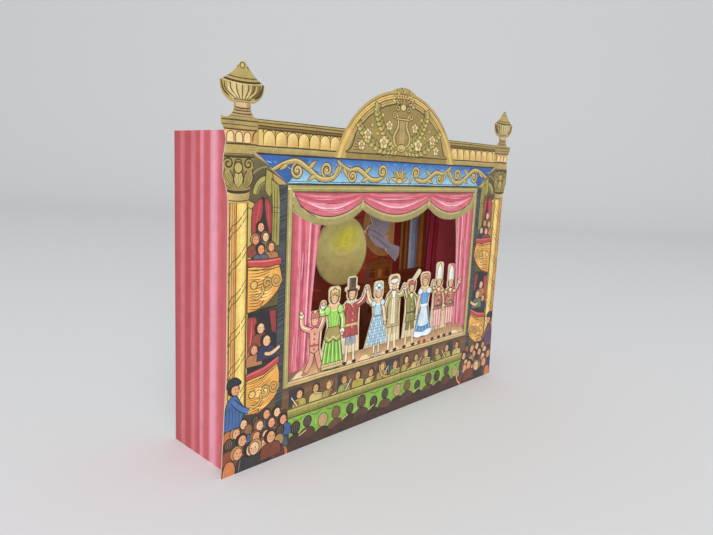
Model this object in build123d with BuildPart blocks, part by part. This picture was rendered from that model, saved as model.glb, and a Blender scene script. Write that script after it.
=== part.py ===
"""Toy-theatre greeting card: a die-cut front, a folded box behind it and a cut-out sheet hung inside.

Millimetres, +Z up, +X to the right as the audience sees it, +Y away from the audience.
The origin is under the middle of the card, on the surface that it stands on.
"""

import os
from dataclasses import dataclass
from math import atan2, degrees, dist

from build123d import *

# ---- card stock ----
card_thickness = 0.4
fold_radius = 0.3                    # inside of a creased fold

# ---- overall sizes ----
panel_width = 180.0                  # front panel along its foot
cornice_top_z = 128.4
card_depth = 39.8                    # front face of the panel to the back face of the box

# ---- box behind the panel ----
side_inset = 3.8                     # side wall inside the panel's lower corner
box_height = 124.0
glue_flap_width = 14.0

# ---- columns, capitals and cornice in the panel's outline ----
column_inset = 1.8
column_foot_z = 38.0
column_neck_z = 100.0
capital_overhang = 0.2
capital_foot_z = 108.5
capital_top_z = 114.8
entablature_inset = 0.9
entablature_z = 120.4
cornice_overhang = 1.3
cornice_lip_z = 126.0
capital_hollow = 0.3                 # share of the overhang reached half-way up a hollow moulding

# ---- pediment and its shell ----
pediment_half_width = 34.4
pediment_rise = 18.1
shell_half_width = 8.2
shell_rise = 2.3

# ---- urns on the corners ----
urn_inset = 7.0                      # urn's axis inside the panel's lower corner
urn_plinth_rise = 2.9
urn_plinth_step = 3.4                # plinth's sweep from the urn's foot out to the cornice
urn_foot_half_width = 3.4
urn_stem_height = 1.6
urn_rim_half_width = 8.9
urn_rim_height = 8.0
urn_shoulder_half_width = 6.6
urn_shoulder_height = 9.3
urn_lid_half_width = 0.9
urn_height = 14.8                    # plinth to lid

# ---- stage window ----
stage_floor_z = 30.0                 # line that the players' feet stand on
sill_height = 5.0                    # window's lower edge above that line
curtain_foot_half_gap = 50.0
curtain_middle_half_gap = 49.0
curtain_middle_rise = 0.45           # where the middle gap is, as a share of the way up
curtain_top_half_gap = 44.7
swag_foot_z = 90.3
swag_drop = 6.2
swag_peak_x = 22.5                   # where the middle swag meets its neighbours
outer_swag_width = 35.5

# ---- players cut out in the window ----
print_border = 0.6                   # unprinted rim around each figure
head_radius = 2.6
neck_length = 1.4                    # chin to the top of the shoulders
arm_width = 2.0
hat_corner_share = 1 / 3             # a hat's corner radius, as a share of its width
skirt_tuck = 1.0                     # how far a skirt runs down below the sill

# ---- sheet hung inside the box ----
hanging_setback = 18.0               # behind the panel's front face
hanging_strip_bottom_z = 98.0
hanging_strip_height = 14.0
hanging_tab_length = 9.0
disc_x = -15.7
disc_z = 76.4
disc_radius = 16.0
disc_neck_width = 12.0
neck_overlap = 1.0                   # how far the disc's neck runs up into the strip
dove_x = 9.5
dove_z = 80.0
dove_body = (8.0, 3.4)               # half-length and half-height
dove_dive = 28.0                     # degrees that the body slopes down to its tail
dove_head_radius = 2.6
dove_head_place = (-6.8, 4.6)        # head, wings and tail as seen from the middle of the body
dove_beak = ((-5.0, -0.6), (-1.5, 1.2), (-1.5, -1.8))
dove_near_wing = (12.6, 3.8)         # half-length and half-width
dove_near_wing_place = (4.4, 10.4)
dove_near_wing_lean = 66.0           # degrees from level
dove_far_wing = (10.4, 3.2)
dove_far_wing_place = (-4.0, 11.4)
dove_far_wing_lean = 112.0
dove_tail_place = (9.4, -5.2)
dove_tail = ((-4.0, 3.4), (6.2, 0.6), (5.4, -3.4), (2.8, -6.4), (-4.6, -0.4))


@dataclass
class Player:
    """One figure of the curtain call: x from the stage's middle, heights above the stage floor."""

    x: float
    head: float
    shoulder_half_width: float
    waist: float
    waist_half_width: float
    hem_half_width: float
    hat: tuple                       # width and height above the middle of the head
    arms: tuple                      # shoulder, elbow and hand of each arm
    trimmings: tuple = ()            # hat brims and feathers: two ends and a width


players = (
    # acrobat
    Player(-47.0, 22.6, 3.4, 11.0, 2.8, 4.6, (4.6, 3.4),
           (((-49.2, 18.8), (-53.4, 21.0), (-54.2, 26.6)), ((-44.4, 18.4), (-42.4, 22.4), (-42.6, 28.0)))),
    # singer in a gown
    Player(-36.6, 30.4, 4.2, 18.6, 3.0, 6.8, (5.4, 4.4),
           (((-40.0, 25.4), (-43.6, 25.0), (-42.6, 28.8)), ((-33.4, 25.4), (-31.2, 20.6), (-31.6, 14.6)))),
    # gentleman in a top hat
    Player(-26.4, 30.8, 4.4, 17.0, 4.4, 5.0, (4.4, 7.2),
           (((-30.0, 25.8), (-31.6, 21.0), (-31.6, 14.6)), ((-22.8, 25.8), (-19.4, 27.6), (-17.2, 32.4))),
           (((-29.6, 33.2), (-23.2, 33.2), 1.0),)),
    # dancer
    Player(-9.6, 29.4, 3.4, 19.4, 2.6, 7.6, (5.0, 4.8),
           (((-12.2, 24.6), (-15.4, 26.8), (-17.2, 32.4)), ((-7.0, 24.6), (-5.4, 20.4), (-4.4, 14.8)))),
    # gentleman with a wig
    Player(0.8, 31.8, 4.2, 17.4, 4.2, 5.0, (6.6, 4.4),
           (((-2.6, 26.6), (-4.6, 21.6), (-4.4, 14.8)), ((4.2, 26.6), (6.6, 27.2), (8.4, 30.6)))),
    # page with a feather in the cap
    Player(13.6, 29.0, 3.6, 17.4, 3.6, 5.0, (5.6, 3.8),
           (((10.8, 24.2), (9.8, 26.6), (8.4, 30.6)), ((16.4, 24.2), (18.0, 19.6), (18.2, 13.8))),
           (((14.6, 32.4), (18.6, 36.4), 1.2),)),
    # lady with a sash
    Player(23.8, 31.0, 3.8, 19.6, 2.8, 7.0, (6.2, 4.2),
           (((20.8, 26.2), (19.0, 20.6), (18.2, 13.8)), ((26.8, 26.2), (29.6, 26.4), (30.4, 29.8)))),
    # two bandsmen
    Player(35.0, 29.4, 3.8, 17.0, 4.2, 5.0, (4.6, 9.6),
           (((32.2, 26.2), (30.8, 26.8), (30.4, 29.8)), ((38.2, 24.6), (39.8, 20.4), (40.0, 15.4)))),
    Player(45.0, 28.0, 4.4, 16.2, 4.4, 5.0, (4.6, 9.4),
           (((41.8, 23.2), (40.2, 20.0), (40.0, 15.4)), ((48.2, 23.2), (51.0, 24.6), (53.0, 29.0)))),
)

# ---- places that follow from the sizes above ----
half_width = panel_width / 2
front_y = -card_depth / 2
back_y = card_depth / 2
box_half_width = half_width - side_inset
urn_x = half_width - urn_inset
plinth_z = cornice_top_z + urn_plinth_rise
sill_z = stage_floor_z + sill_height
swag_peak_z = swag_foot_z + swag_drop
hanging_y = front_y + hanging_setback
panel_plane = Plane.XZ.offset(-front_y - card_thickness)
hanging_plane = Plane.XZ.offset(-hanging_y - card_thickness)


def arc_radius(half_chord, rise):
    """Radius of the arc that rises this much over this half chord."""
    return (half_chord**2 + rise**2) / (2 * rise)


def limb(start, end, width):
    """A round-ended bar of the open sketch, from start to end, cut away from what is there."""
    middle = ((start[0] + end[0]) / 2, (start[1] + end[1]) / 2)
    tilt = degrees(atan2(end[1] - start[1], end[0] - start[0]))
    with Locations(middle):
        SlotCenterToCenter(dist(start, end), width, rotation=tilt, mode=Mode.SUBTRACT)


def keep_player(player):
    """Leave one player standing in the window: head, hat, dress and arms, with the unprinted rim."""
    rim = 2 * print_border
    head_z = stage_floor_z + player.head
    shoulder_z = head_z - head_radius - neck_length
    waist_z = stage_floor_z + player.waist
    hem_z = sill_z - skirt_tuck
    hat_width, hat_height = player.hat
    with Locations((player.x, head_z)):
        Circle(head_radius + print_border, mode=Mode.SUBTRACT)
    with Locations((player.x, head_z + hat_height / 2)):
        RectangleRounded(
            hat_width + rim, hat_height + rim, hat_width * hat_corner_share, mode=Mode.SUBTRACT,
        )
    shoulder = player.shoulder_half_width + print_border
    waist = player.waist_half_width + print_border
    hem = player.hem_half_width + print_border
    with BuildLine(mode=Mode.PRIVATE) as dress:
        Polyline(
            (player.x - hem, hem_z), (player.x - waist, waist_z), (player.x - shoulder, shoulder_z),
            (player.x, head_z), (player.x + shoulder, shoulder_z), (player.x + waist, waist_z),
            (player.x + hem, hem_z), close=True,
        )
    make_face(dress.edges(), mode=Mode.SUBTRACT)
    for arm in player.arms:
        joints = [(x, stage_floor_z + height) for x, height in arm]
        for start, end in zip(joints, joints[1:]):
            limb(start, end, arm_width + rim)
    for start, end, width in player.trimmings:
        limb((start[0], stage_floor_z + start[1]), (end[0], stage_floor_z + end[1]), width + rim)


# ---- stage window, less the players ----
with BuildSketch() as window:
    with BuildLine():
        right_edge = Spline(
            (curtain_foot_half_gap, sill_z),
            (curtain_middle_half_gap, sill_z + curtain_middle_rise * (swag_peak_z - sill_z)),
            (curtain_top_half_gap, swag_peak_z),
        )
        Line((0, sill_z), right_edge @ 0)
        Line((0, swag_peak_z), right_edge @ 1)
        mirror(about=Plane.YZ)
    make_face()
    middle_radius = arc_radius(swag_peak_x, swag_drop)
    outer_radius = arc_radius(outer_swag_width / 2, swag_drop)
    with Locations((0, swag_foot_z + middle_radius)):
        Circle(middle_radius, mode=Mode.SUBTRACT)
    outer_swag_x = swag_peak_x + outer_swag_width / 2
    for side in (-1, 1):
        with Locations((side * outer_swag_x, swag_foot_z + outer_radius)):
            Circle(outer_radius, mode=Mode.SUBTRACT)
    for player in players:
        keep_player(player)

# ---- urn, drawn about its own axis with its foot at the origin ----
with BuildSketch() as urn:
    with BuildLine():
        stem = Line((urn_foot_half_width, -urn_plinth_rise), (urn_foot_half_width, urn_stem_height))
        bowl = TangentArc(stem @ 1, (urn_rim_half_width, urn_rim_height), tangent=(1, 0.1))
        shoulder = Line(bowl @ 1, (urn_shoulder_half_width, urn_shoulder_height))
        lid = TangentArc(shoulder @ 1, (urn_lid_half_width, urn_height), tangent=(-1, 0.6))
        Line(lid @ 1, (0, urn_height))
        Line(stem @ 0, (0, -urn_plinth_rise))
        mirror(about=Plane.YZ)
    make_face()

# ---- front panel: one die-cut sheet ----
column_x = half_width - column_inset
capital_x = half_width + capital_overhang
cornice_x = half_width + cornice_overhang
entablature_x = half_width - entablature_inset
capital_hollow_x = column_x + capital_hollow * (capital_x - column_x)
entablature_hollow_x = entablature_x + capital_hollow * (cornice_x - entablature_x)
pediment_radius = arc_radius(pediment_half_width, pediment_rise)
pediment_top_z = cornice_top_z + pediment_rise
shell_drop = pediment_radius - (pediment_radius**2 - shell_half_width**2) ** 0.5
shell_radius = arc_radius(shell_half_width, shell_rise)
shell_top_z = pediment_top_z - shell_drop + shell_rise
plinth_outer_x = urn_x + urn_foot_half_width
plinth_inner_x = urn_x - urn_foot_half_width
plinth_foot_x = plinth_inner_x - urn_plinth_step

with BuildPart() as front_panel:
    with BuildSketch(panel_plane):
        with BuildLine():
            Polyline((0, 0), (half_width, 0), (column_x, column_foot_z), (column_x, column_neck_z))
            ThreePointArc(
                (column_x, column_neck_z),
                (capital_hollow_x, (column_neck_z + capital_foot_z) / 2),
                (capital_x, capital_foot_z),
            )
            Polyline(
                (capital_x, capital_foot_z), (capital_x, capital_top_z), (entablature_x, entablature_z),
            )
            ThreePointArc(
                (entablature_x, entablature_z),
                (entablature_hollow_x, (entablature_z + cornice_lip_z) / 2),
                (cornice_x, cornice_lip_z),
            )
            Line((cornice_x, cornice_lip_z), (cornice_x, cornice_top_z))
            TangentArc((plinth_outer_x, plinth_z), (cornice_x, cornice_top_z), tangent=(0, -1))
            Line((plinth_outer_x, plinth_z), (plinth_inner_x, plinth_z))
            TangentArc((plinth_inner_x, plinth_z), (plinth_foot_x, cornice_top_z), tangent=(0, -1))
            Line((plinth_foot_x, cornice_top_z), (0, cornice_top_z))
            mirror(about=Plane.YZ)
        make_face()
        with Locations((0, pediment_top_z - pediment_radius)):
            Circle(pediment_radius)
        with Locations((0, shell_top_z - shell_radius)):
            Circle(shell_radius)
        with Locations((-urn_x, plinth_z), (urn_x, plinth_z)):
            add(urn.sketch)
        add(window.sketch, mode=Mode.SUBTRACT)
    extrude(amount=card_thickness)
front_panel.part.label = "front_panel"

# ---- stage box: back wall, side walls and glue flaps folded from one sheet ----
flap_y = front_y + card_thickness
flap_end_x = box_half_width - glue_flap_width

with BuildPart() as stage_box:
    with BuildSketch():
        with BuildLine():
            FilletPolyline(
                (-flap_end_x, flap_y), (-box_half_width, flap_y), (-box_half_width, back_y),
                (box_half_width, back_y), (box_half_width, flap_y), (flap_end_x, flap_y),
                radius=fold_radius + card_thickness,
            )
            offset(amount=card_thickness, side=Side.RIGHT)
        make_face()
    extrude(amount=box_height)
stage_box.part.label = "stage_box"

# ---- hanging border: a strip with bent end tabs, the disc and the dove that hang from it ----
strip_half_width = box_half_width - card_thickness
tab_end_y = hanging_y + hanging_tab_length
neck_height = hanging_strip_bottom_z + neck_overlap - disc_z


def by_the_dove(place):
    """A place on the hung sheet, from one that is told from the middle of the dove's body."""
    return (dove_x + place[0], dove_z + place[1])


with BuildPart() as hanging_border:
    with BuildSketch(Plane.XY.offset(hanging_strip_bottom_z)):
        with BuildLine():
            FilletPolyline(
                (-strip_half_width, tab_end_y), (-strip_half_width, hanging_y),
                (strip_half_width, hanging_y), (strip_half_width, tab_end_y),
                radius=fold_radius + card_thickness,
            )
            offset(amount=card_thickness, side=Side.LEFT)
        make_face()
    extrude(amount=hanging_strip_height)
    with BuildSketch(hanging_plane):
        with Locations((disc_x, disc_z)):
            Circle(disc_radius)
            Rectangle(disc_neck_width, neck_height, align=(Align.CENTER, Align.MIN))
        with Locations((dove_x, dove_z)):
            Ellipse(*dove_body, rotation=-dove_dive)
        with Locations(by_the_dove(dove_head_place)):
            Circle(dove_head_radius)
            Polygon(*dove_beak, align=None)
        with Locations(by_the_dove(dove_near_wing_place)):
            Ellipse(*dove_near_wing, rotation=dove_near_wing_lean)
        with Locations(by_the_dove(dove_far_wing_place)):
            Ellipse(*dove_far_wing, rotation=dove_far_wing_lean)
        with Locations(by_the_dove(dove_tail_place)):
            Polygon(*dove_tail, align=None)
    extrude(amount=card_thickness)
hanging_border.part.label = "hanging_border"

os.makedirs("parts", exist_ok=True)
export_step(front_panel.part, "parts/front_panel.step")
export_step(stage_box.part, "parts/stage_box.step")
export_step(hanging_border.part, "parts/hanging_border.step")

for piece in (front_panel, stage_box, hanging_border):
    size = piece.part.bounding_box().size
    print(f"{piece.part.label}: {len(piece.part.solids())} solid, {piece.part.volume:.1f} mm3,"
          f" {size.X:.1f} x {size.Y:.1f} x {size.Z:.1f} mm")
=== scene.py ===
# %% [markdown]
# # A toy-theatre greeting card
# The card is three sheets of litho-printed card: a die-cut front, a folded box behind it and a sheet
# hung inside the box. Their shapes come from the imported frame. What is left to make here is the print,
# the paper and the light. The picture is drawn as flat shapes in millimetres, x to the right and z up
# from the middle of the card's foot, and later shapes cover earlier ones, as on a printer's stone.

# %% Load the frame
import math
import random

import bpy
import numpy as np
from mathutils import Matrix, Vector, geometry


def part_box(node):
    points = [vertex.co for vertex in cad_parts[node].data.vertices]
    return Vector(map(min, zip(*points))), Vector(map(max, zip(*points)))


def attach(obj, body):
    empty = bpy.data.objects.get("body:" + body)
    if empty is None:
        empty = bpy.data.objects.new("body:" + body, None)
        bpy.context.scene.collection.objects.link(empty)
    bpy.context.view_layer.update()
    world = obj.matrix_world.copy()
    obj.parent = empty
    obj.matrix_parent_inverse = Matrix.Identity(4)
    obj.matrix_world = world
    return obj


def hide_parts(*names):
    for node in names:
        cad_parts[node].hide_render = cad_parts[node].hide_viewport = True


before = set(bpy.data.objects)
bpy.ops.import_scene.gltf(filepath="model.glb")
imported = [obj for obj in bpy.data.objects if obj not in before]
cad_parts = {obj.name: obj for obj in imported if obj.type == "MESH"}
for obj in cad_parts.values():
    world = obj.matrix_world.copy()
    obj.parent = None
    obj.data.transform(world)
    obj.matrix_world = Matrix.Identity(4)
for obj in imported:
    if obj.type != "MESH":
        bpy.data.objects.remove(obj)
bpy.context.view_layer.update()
scene = bpy.context.scene
MM = 0.001
front_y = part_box("front_panel")[0].y / MM
card_thickness = (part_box("front_panel")[1].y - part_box("front_panel")[0].y) / MM
back_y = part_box("stage_box")[1].y / MM - card_thickness
hanging_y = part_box("hanging_border")[0].y / MM
box_half_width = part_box("stage_box")[1].x / MM
box_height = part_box("stage_box")[1].z / MM
print(f"front face y {front_y:.1f}, back wall y {back_y:.1f}, hung sheet y {hanging_y:.1f} mm")

# %% [markdown]
# ## The camera
# It stands close to the left corner and a little above the cornice, as a phone held in the hand does,
# so the lens is short and the near corner looms. It comes first, because everything is judged through it.

# %% Camera
camera_place = Vector((-200.6, -189.1, 113.5)) * MM
camera_yaw, camera_pitch, camera_roll = 46.126, 9.626, 2.70
camera_data = bpy.data.cameras.new("camera")
camera_data.sensor_width = 36.0
camera_data.lens = 29.75
camera_data.clip_start = 0.01
camera = bpy.data.objects.new("camera", camera_data)
turn = (
    Matrix.Rotation(-math.radians(camera_yaw), 4, "Z")
    @ Matrix.Rotation(math.radians(90 - camera_pitch), 4, "X")
    @ Matrix.Rotation(math.radians(camera_roll), 4, "Z")
)
camera.matrix_world = Matrix.Translation(camera_place) @ turn
scene.collection.objects.link(camera)
scene.camera = camera
scene.view_settings.view_transform = "Standard"
print(f"camera {camera_place.length / MM:.0f} mm from the card's foot")

# %% [markdown]
# ## Inks
# Litho inks on card are written as sRGB hex, as a printer's swatch book gives them. One function turns
# them to the linear light that the renderer works in, and a wash runs from one ink to another.

# %% Inks
def ink(code):
    """A hex swatch as linear red, green and blue."""
    parts = [int(code[i:i + 2], 16) / 255 for i in (1, 3, 5)]
    return np.array([p / 12.92 if p <= 0.04045 else ((p + 0.055) / 1.055) ** 2.4 for p in parts])


def wash(start_code, end_code, start, end):
    """A colour that runs from one ink at start to another at end."""
    a, b = ink(start_code), ink(end_code)
    origin, along = np.array(start, float), np.array(end, float) - np.array(start, float)
    reach = float(along @ along)
    return lambda x, z: a + (b - a) * min(1.0, max(0.0, float((np.array((x, z)) - origin) @ along) / reach))


LINE = "#4a3a22"
GOLD, GOLD_LIGHT, GOLD_DARK, OLIVE = "#b39c5c", "#d6c07e", "#8d7640", "#a5974f"
FLESH, PEACH = "#e6bd93", "#e2a27a"
PINK, PINK_LIGHT, PINK_DARK = "#cf6a76", "#eaa0ae", "#a5475a"
print("ink line in linear light:", ink(LINE).round(3))

# %% [markdown]
# ## Drawing
# A picture is a list of shapes, each an outline and a colour. Circles and leaves are formulas, and a
# line of the pen is an outline too, as wide as the nib and thinner at its ends.

# %% Drawing
def oval(x, z, half_width, half_height=None, lean=0.0, start=0.0, stop=360.0):
    """Points round an ellipse, or along a part of one."""
    half_height = half_width if half_height is None else half_height
    count = max(6, round(abs(stop - start) / 360 * (10 + 5 * math.sqrt(max(half_width, half_height)))))
    whole = abs(stop - start) >= 360
    turned = math.radians(lean)
    points = []
    for i in range(count if whole else count + 1):
        angle = math.radians(start + (stop - start) * i / count)
        u, v = half_width * math.cos(angle), half_height * math.sin(angle)
        points.append((x + u * math.cos(turned) - v * math.sin(turned), z + u * math.sin(turned) + v * math.cos(turned)))
    return points


def bend(points, steps=4, closed=False):
    """A smooth line through the points."""
    p = [np.array(q, float) for q in points]
    p = [p[-1], *p, p[0], p[1]] if closed else [2 * p[0] - p[1], *p, 2 * p[-1] - p[-2]]
    smooth = []
    for a, b, c, d in zip(p, p[1:], p[2:], p[3:]):
        for i in range(steps):
            t = i / steps
            smooth.append(tuple(0.5 * (2 * b + (c - a) * t + (2 * a - 5 * b + 4 * c - d) * t**2
                                       + (3 * b - a - 3 * c + d) * t**3)))
    return smooth if closed else smooth + [tuple(p[-2])]


def bar(x0, x1, z0, z1):
    return [(x0, z0), (x1, z0), (x1, z1), (x0, z1)]


class Picture:
    """Shapes for one face of a sheet, in millimetres, the last one on top."""

    def __init__(self):
        self.shapes = []

    def fill(self, points, colour):
        self.shapes.append(([(float(x), float(z)) for x, z in points], colour))

    def pen(self, points, width=0.35, colour=LINE, tip=0.5):
        """A line along the points, tip times as wide at its two ends."""
        p = np.array(points, float)
        step = np.diff(p, axis=0)
        step /= np.maximum(np.linalg.norm(step, axis=1), 1e-9)[:, None]
        along = np.vstack([step[:1], step[:-1] + step[1:], step[-1:]])
        along /= np.maximum(np.linalg.norm(along, axis=1), 1e-9)[:, None]
        side = np.stack([-along[:, 1], along[:, 0]], 1)
        t = np.linspace(-1, 1, len(p))
        half = width / 2 * (1 - (1 - tip) * np.abs(t) ** 3)[:, None]
        self.fill([*map(tuple, p + side * half), *map(tuple, (p - side * half)[::-1])], colour)

    def outlined(self, points, colour, width=0.35, edge=LINE):
        """A filled shape with a pen line round it: the line's shape is the fill grown by the nib."""
        closed = [*points, points[0], points[1]]
        self.fill(points, colour)
        self.pen(closed, width, edge, tip=1.0)

    def mirrored(self, first):
        """Repeats the shapes from number first on, on the other side of the middle."""
        for points, colour in self.shapes[first:]:
            flipped = [(-x, z) for x, z in points]
            other = (lambda x, z, c=colour: c(-x, z)) if callable(colour) else colour
            self.shapes.append((flipped, other))


print("an oval of 10 mm has", len(oval(0, 0, 10)), "points")

# %% [markdown]
# ## Printing
# The shapes' outlines and the sheet's own die-cut edge go into one Delaunay triangulation. Each triangle
# takes the colour of the top shape over its middle, so the print is one clean skin with no stacked faces.

# %% Printing
def face_loops(node, y, side):
    """The closed edges of a sheet's flat face at y that looks to side -1 or +1, in millimetres."""
    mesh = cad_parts[node].data
    uses = {}
    for face in mesh.polygons:
        flat = all(abs(mesh.vertices[v].co.y / MM - y) < 0.02 for v in face.vertices)
        if flat and face.normal.y * side > 0.9:
            ids = [tuple(round(c / MM, 3) for c in mesh.vertices[v].co.xz) for v in face.vertices]
            for a, b in zip(ids, ids[1:] + ids[:1]):
                uses[(a, b)] = uses.get((a, b), 0) + 1
    rim = {a: b for (a, b) in uses if (b, a) not in uses}
    loops = []
    while rim:
        start, here = next(iter(rim.items()))
        loop = [start]
        del rim[start]
        while here != start and here in rim:
            loop.append(here)
            here = rim.pop(here)
        loops.append(loop)
    return loops


def within(points, loop):
    """How many times each point is wound round by the loop."""
    x, z = points[:, 0], points[:, 1]
    winding = np.zeros(len(points), int)
    for (x0, z0), (x1, z1) in zip(loop, loop[1:] + loop[:1]):
        if z0 == z1:
            continue
        cross = (x1 - x0) * (z - z0) - (x - x0) * (z1 - z0)
        winding += (z0 <= z) & (z1 > z) & (cross > 0)
        winding -= (z1 <= z) & (z0 > z) & (cross < 0)
    return winding


def triangulate(outlines):
    """Vertices and triangles of a plane cut along all the outlines."""
    places, edges = [], []
    for outline in outlines:
        first = len(places)
        places += [Vector(p) for p in outline]
        edges += [(first + i, first + (i + 1) % len(outline)) for i in range(len(outline))]
    found = geometry.delaunay_2d_cdt(places, edges, [], 0, 1e-4, False)
    return np.array([tuple(v) for v in found[0]]), np.array([tuple(f) for f in found[2]])


def printed(name, picture, loops, y, side=-1, depth=0.0):
    """A mesh with the picture on it: a skin at y, or with a depth a whole sheet of card."""
    corners, tris = triangulate([shape for shape, _ in picture.shapes] + loops)
    middles = corners[tris].mean(1)
    on_card = sum(np.abs(within(middles, loop)) for loop in loops) % 2 == 1
    tris, middles = tris[on_card], middles[on_card]
    across = np.argsort(middles[:, 0])
    tris, middles = tris[across], middles[across]
    top = np.full(len(tris), -1)
    for number, (shape, _) in enumerate(picture.shapes):
        outline = np.array(shape)
        low, high = outline.min(0), outline.max(0)
        first, last = np.searchsorted(middles[:, 0], (low[0], high[0]))
        near = first + np.nonzero((middles[first:last, 1] >= low[1]) & (middles[first:last, 1] <= high[1]))[0]
        top[near[within(middles[near], shape) != 0]] = number
    used, tris = np.unique(tris, return_inverse=True)
    tris, corners = tris.reshape(-1, 3), corners[used]
    a, b, c = (corners[tris[:, i]] for i in range(3))
    turned = (b - a)[:, 0] * (c - a)[:, 1] - (b - a)[:, 1] * (c - a)[:, 0] < 0
    tris[turned] = tris[turned][:, ::-1]
    if side > 0:
        tris = tris[:, ::-1]
    verts = [(x * MM, y * MM, z * MM) for x, z in corners]
    faces, slots = [tuple(map(int, t)) for t in tris], [0] * len(tris)
    if depth:
        count = len(verts)
        verts += [(x * MM, (y + depth) * MM, z * MM) for x, z in corners]
        sides = {(t[i], t[(i + 1) % 3]) for t in faces for i in range(3)}
        rim = [(p, q) for p, q in sides if (q, p) not in sides]
        rim.sort()
        faces += [(t[2] + count, t[1] + count, t[0] + count) for t in faces[:]]
        slots += [2] * len(tris)
        faces += [(q, p, p + count, q + count) for p, q in rim]
        slots += [1] * len(rim)
    mesh = bpy.data.meshes.new(name)
    mesh.from_pydata(verts, [], faces)
    mesh.polygons.foreach_set("material_index", slots)
    layer = mesh.color_attributes.new("ink", "FLOAT_COLOR", "CORNER")
    shades = np.ones((len(mesh.loops), 4))
    plain = {}
    for t, tri in enumerate(tris):
        colour = picture.shapes[top[t]][1] if top[t] >= 0 else "#f4f0e6"
        for i, corner in enumerate(tri):
            if callable(colour):
                shades[3 * t + i, :3] = colour(*corners[corner])
            else:
                if colour not in plain:
                    plain[colour] = ink(colour)
                shades[3 * t + i, :3] = plain[colour]
    layer.data.foreach_set("color", shades.ravel())
    piece = bpy.data.objects.new(name, mesh)
    scene.collection.objects.link(piece)
    print(f"{name}: {len(picture.shapes)} shapes, {len(faces)} faces")
    return piece


print("front outline:", [len(loop) for loop in face_loops("front_panel", front_y, -1)], "points a loop")

# %% [markdown]
# ## Litho-printed card
# The real surface is coated card of about 300 g/m2, printed in four inks and drawn like a watercolour.
# The ink gives the colour, so the material reads it from the mesh. Washes of pigment pool and thin out
# over 2 to 6 mm, the hand-laid grain is about 0.4 mm, and the coating leaves a soft sheen. A board's cut
# edge shows its white pulp, and the unprinted back is plain, with fibres that catch the light.

# %% Card materials
def node(tree, kind, settings=None, links=None):
    """Adds a node, sets its properties or sockets, and links its sockets from others."""
    made = tree.nodes.new(kind)
    for key, value in (settings or {}).items():
        if isinstance(key, str) and hasattr(made, key):
            setattr(made, key, value)
        else:
            made.inputs[key].default_value = value
    for key, source in (links or {}).items():
        tree.links.new(source, made.inputs[key])
    return made


def new_material(name):
    material = bpy.data.materials.new(name)
    material.use_nodes = True
    material.node_tree.nodes.clear()
    return material, material.node_tree


def finish_material(tree, colour, height, grain_mm, roughness, specular=0.4):
    """Ends a card material: its colour, its sheen and a fine bump of grain_mm height."""
    bump = node(tree, "ShaderNodeBump", {"Strength": 0.35, "Distance": grain_mm * MM}, {"Height": height})
    shader = node(tree, "ShaderNodeBsdfPrincipled",
                  {"Roughness": roughness, "Specular IOR Level": specular, "IOR": 1.5},
                  {"Base Color": colour, "Normal": bump.outputs["Normal"]})
    node(tree, "ShaderNodeOutputMaterial", links={"Surface": shader.outputs["BSDF"]})


def printed_card():
    material, tree = new_material("litho_printed_card")
    place = node(tree, "ShaderNodeTexCoord").outputs["Object"]
    colours = node(tree, "ShaderNodeAttribute", {"attribute_name": "ink"}).outputs["Color"]
    pooling = node(tree, "ShaderNodeTexNoise", {"Scale": 1 / (4 * MM), "Detail": 4.0, "Roughness": 0.6},
                   {"Vector": place})
    grain = node(tree, "ShaderNodeTexNoise", {"Scale": 1 / (0.5 * MM), "Detail": 2.0}, {"Vector": place})
    thin = node(tree, "ShaderNodeMapRange", {"From Min": 0.3, "From Max": 0.7, "To Min": 0.86, "To Max": 1.14},
                {"Value": pooling.outputs["Fac"]})
    speck = node(tree, "ShaderNodeMapRange", {"From Min": 0.3, "From Max": 0.7, "To Min": 0.92, "To Max": 1.08},
                 {"Value": grain.outputs["Fac"]})
    both = node(tree, "ShaderNodeMath", {"operation": "MULTIPLY"}, {0: thin.outputs[0], 1: speck.outputs[0]})
    laid = node(tree, "ShaderNodeVectorMath", {"operation": "SCALE"}, {0: colours, "Scale": both.outputs[0]})
    finish_material(tree, laid.outputs["Vector"], grain.outputs["Fac"], 0.02, 0.42)
    return material


def plain_board(name, code, roughness=0.75):
    material, tree = new_material(name)
    place = node(tree, "ShaderNodeTexCoord").outputs["Object"]
    pulp = node(tree, "ShaderNodeTexNoise", {"Scale": 1 / (0.8 * MM), "Detail": 5.0, "Roughness": 0.7},
                {"Vector": place})
    ramp = node(tree, "ShaderNodeValToRGB", links={"Fac": pulp.outputs["Fac"]})
    ramp.color_ramp.elements[0].position, ramp.color_ramp.elements[1].position = 0.3, 0.7
    ramp.color_ramp.elements[0].color = (*ink(code) * 0.94, 1)
    ramp.color_ramp.elements[1].color = (*ink(code), 1)
    finish_material(tree, ramp.outputs["Color"], pulp.outputs["Fac"], 0.03, roughness)
    return material


card_print = printed_card()
board_edge = plain_board("white_pulp_board_edge", "#d9cdb4", 0.85)
board_back = plain_board("uncoated_board_back", "#eeece6")
print("materials:", [m.name for m in bpy.data.materials])

# %% [markdown]
# ## The proscenium's mouldings
# The gilt frame is drawn the way an engraver does it: a middle gold, a lighter one where the light falls,
# hatching for the shade and a brown pen line that is never quite straight. Seeded chance gives the wobble.

# %% Pen work shared by all the drawing
chance = random.Random(7)
front = Picture()


def rule(picture, x0, x1, z, width=0.35, colour=LINE, wobble=0.1):
    """A level pen line with a hand's wobble."""
    steps = max(2, round(abs(x1 - x0) / 9))
    points = [(x0 + (x1 - x0) * i / steps, z + chance.uniform(-wobble, wobble)) for i in range(steps + 1)]
    picture.pen(points, width, colour, tip=0.8)


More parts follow.
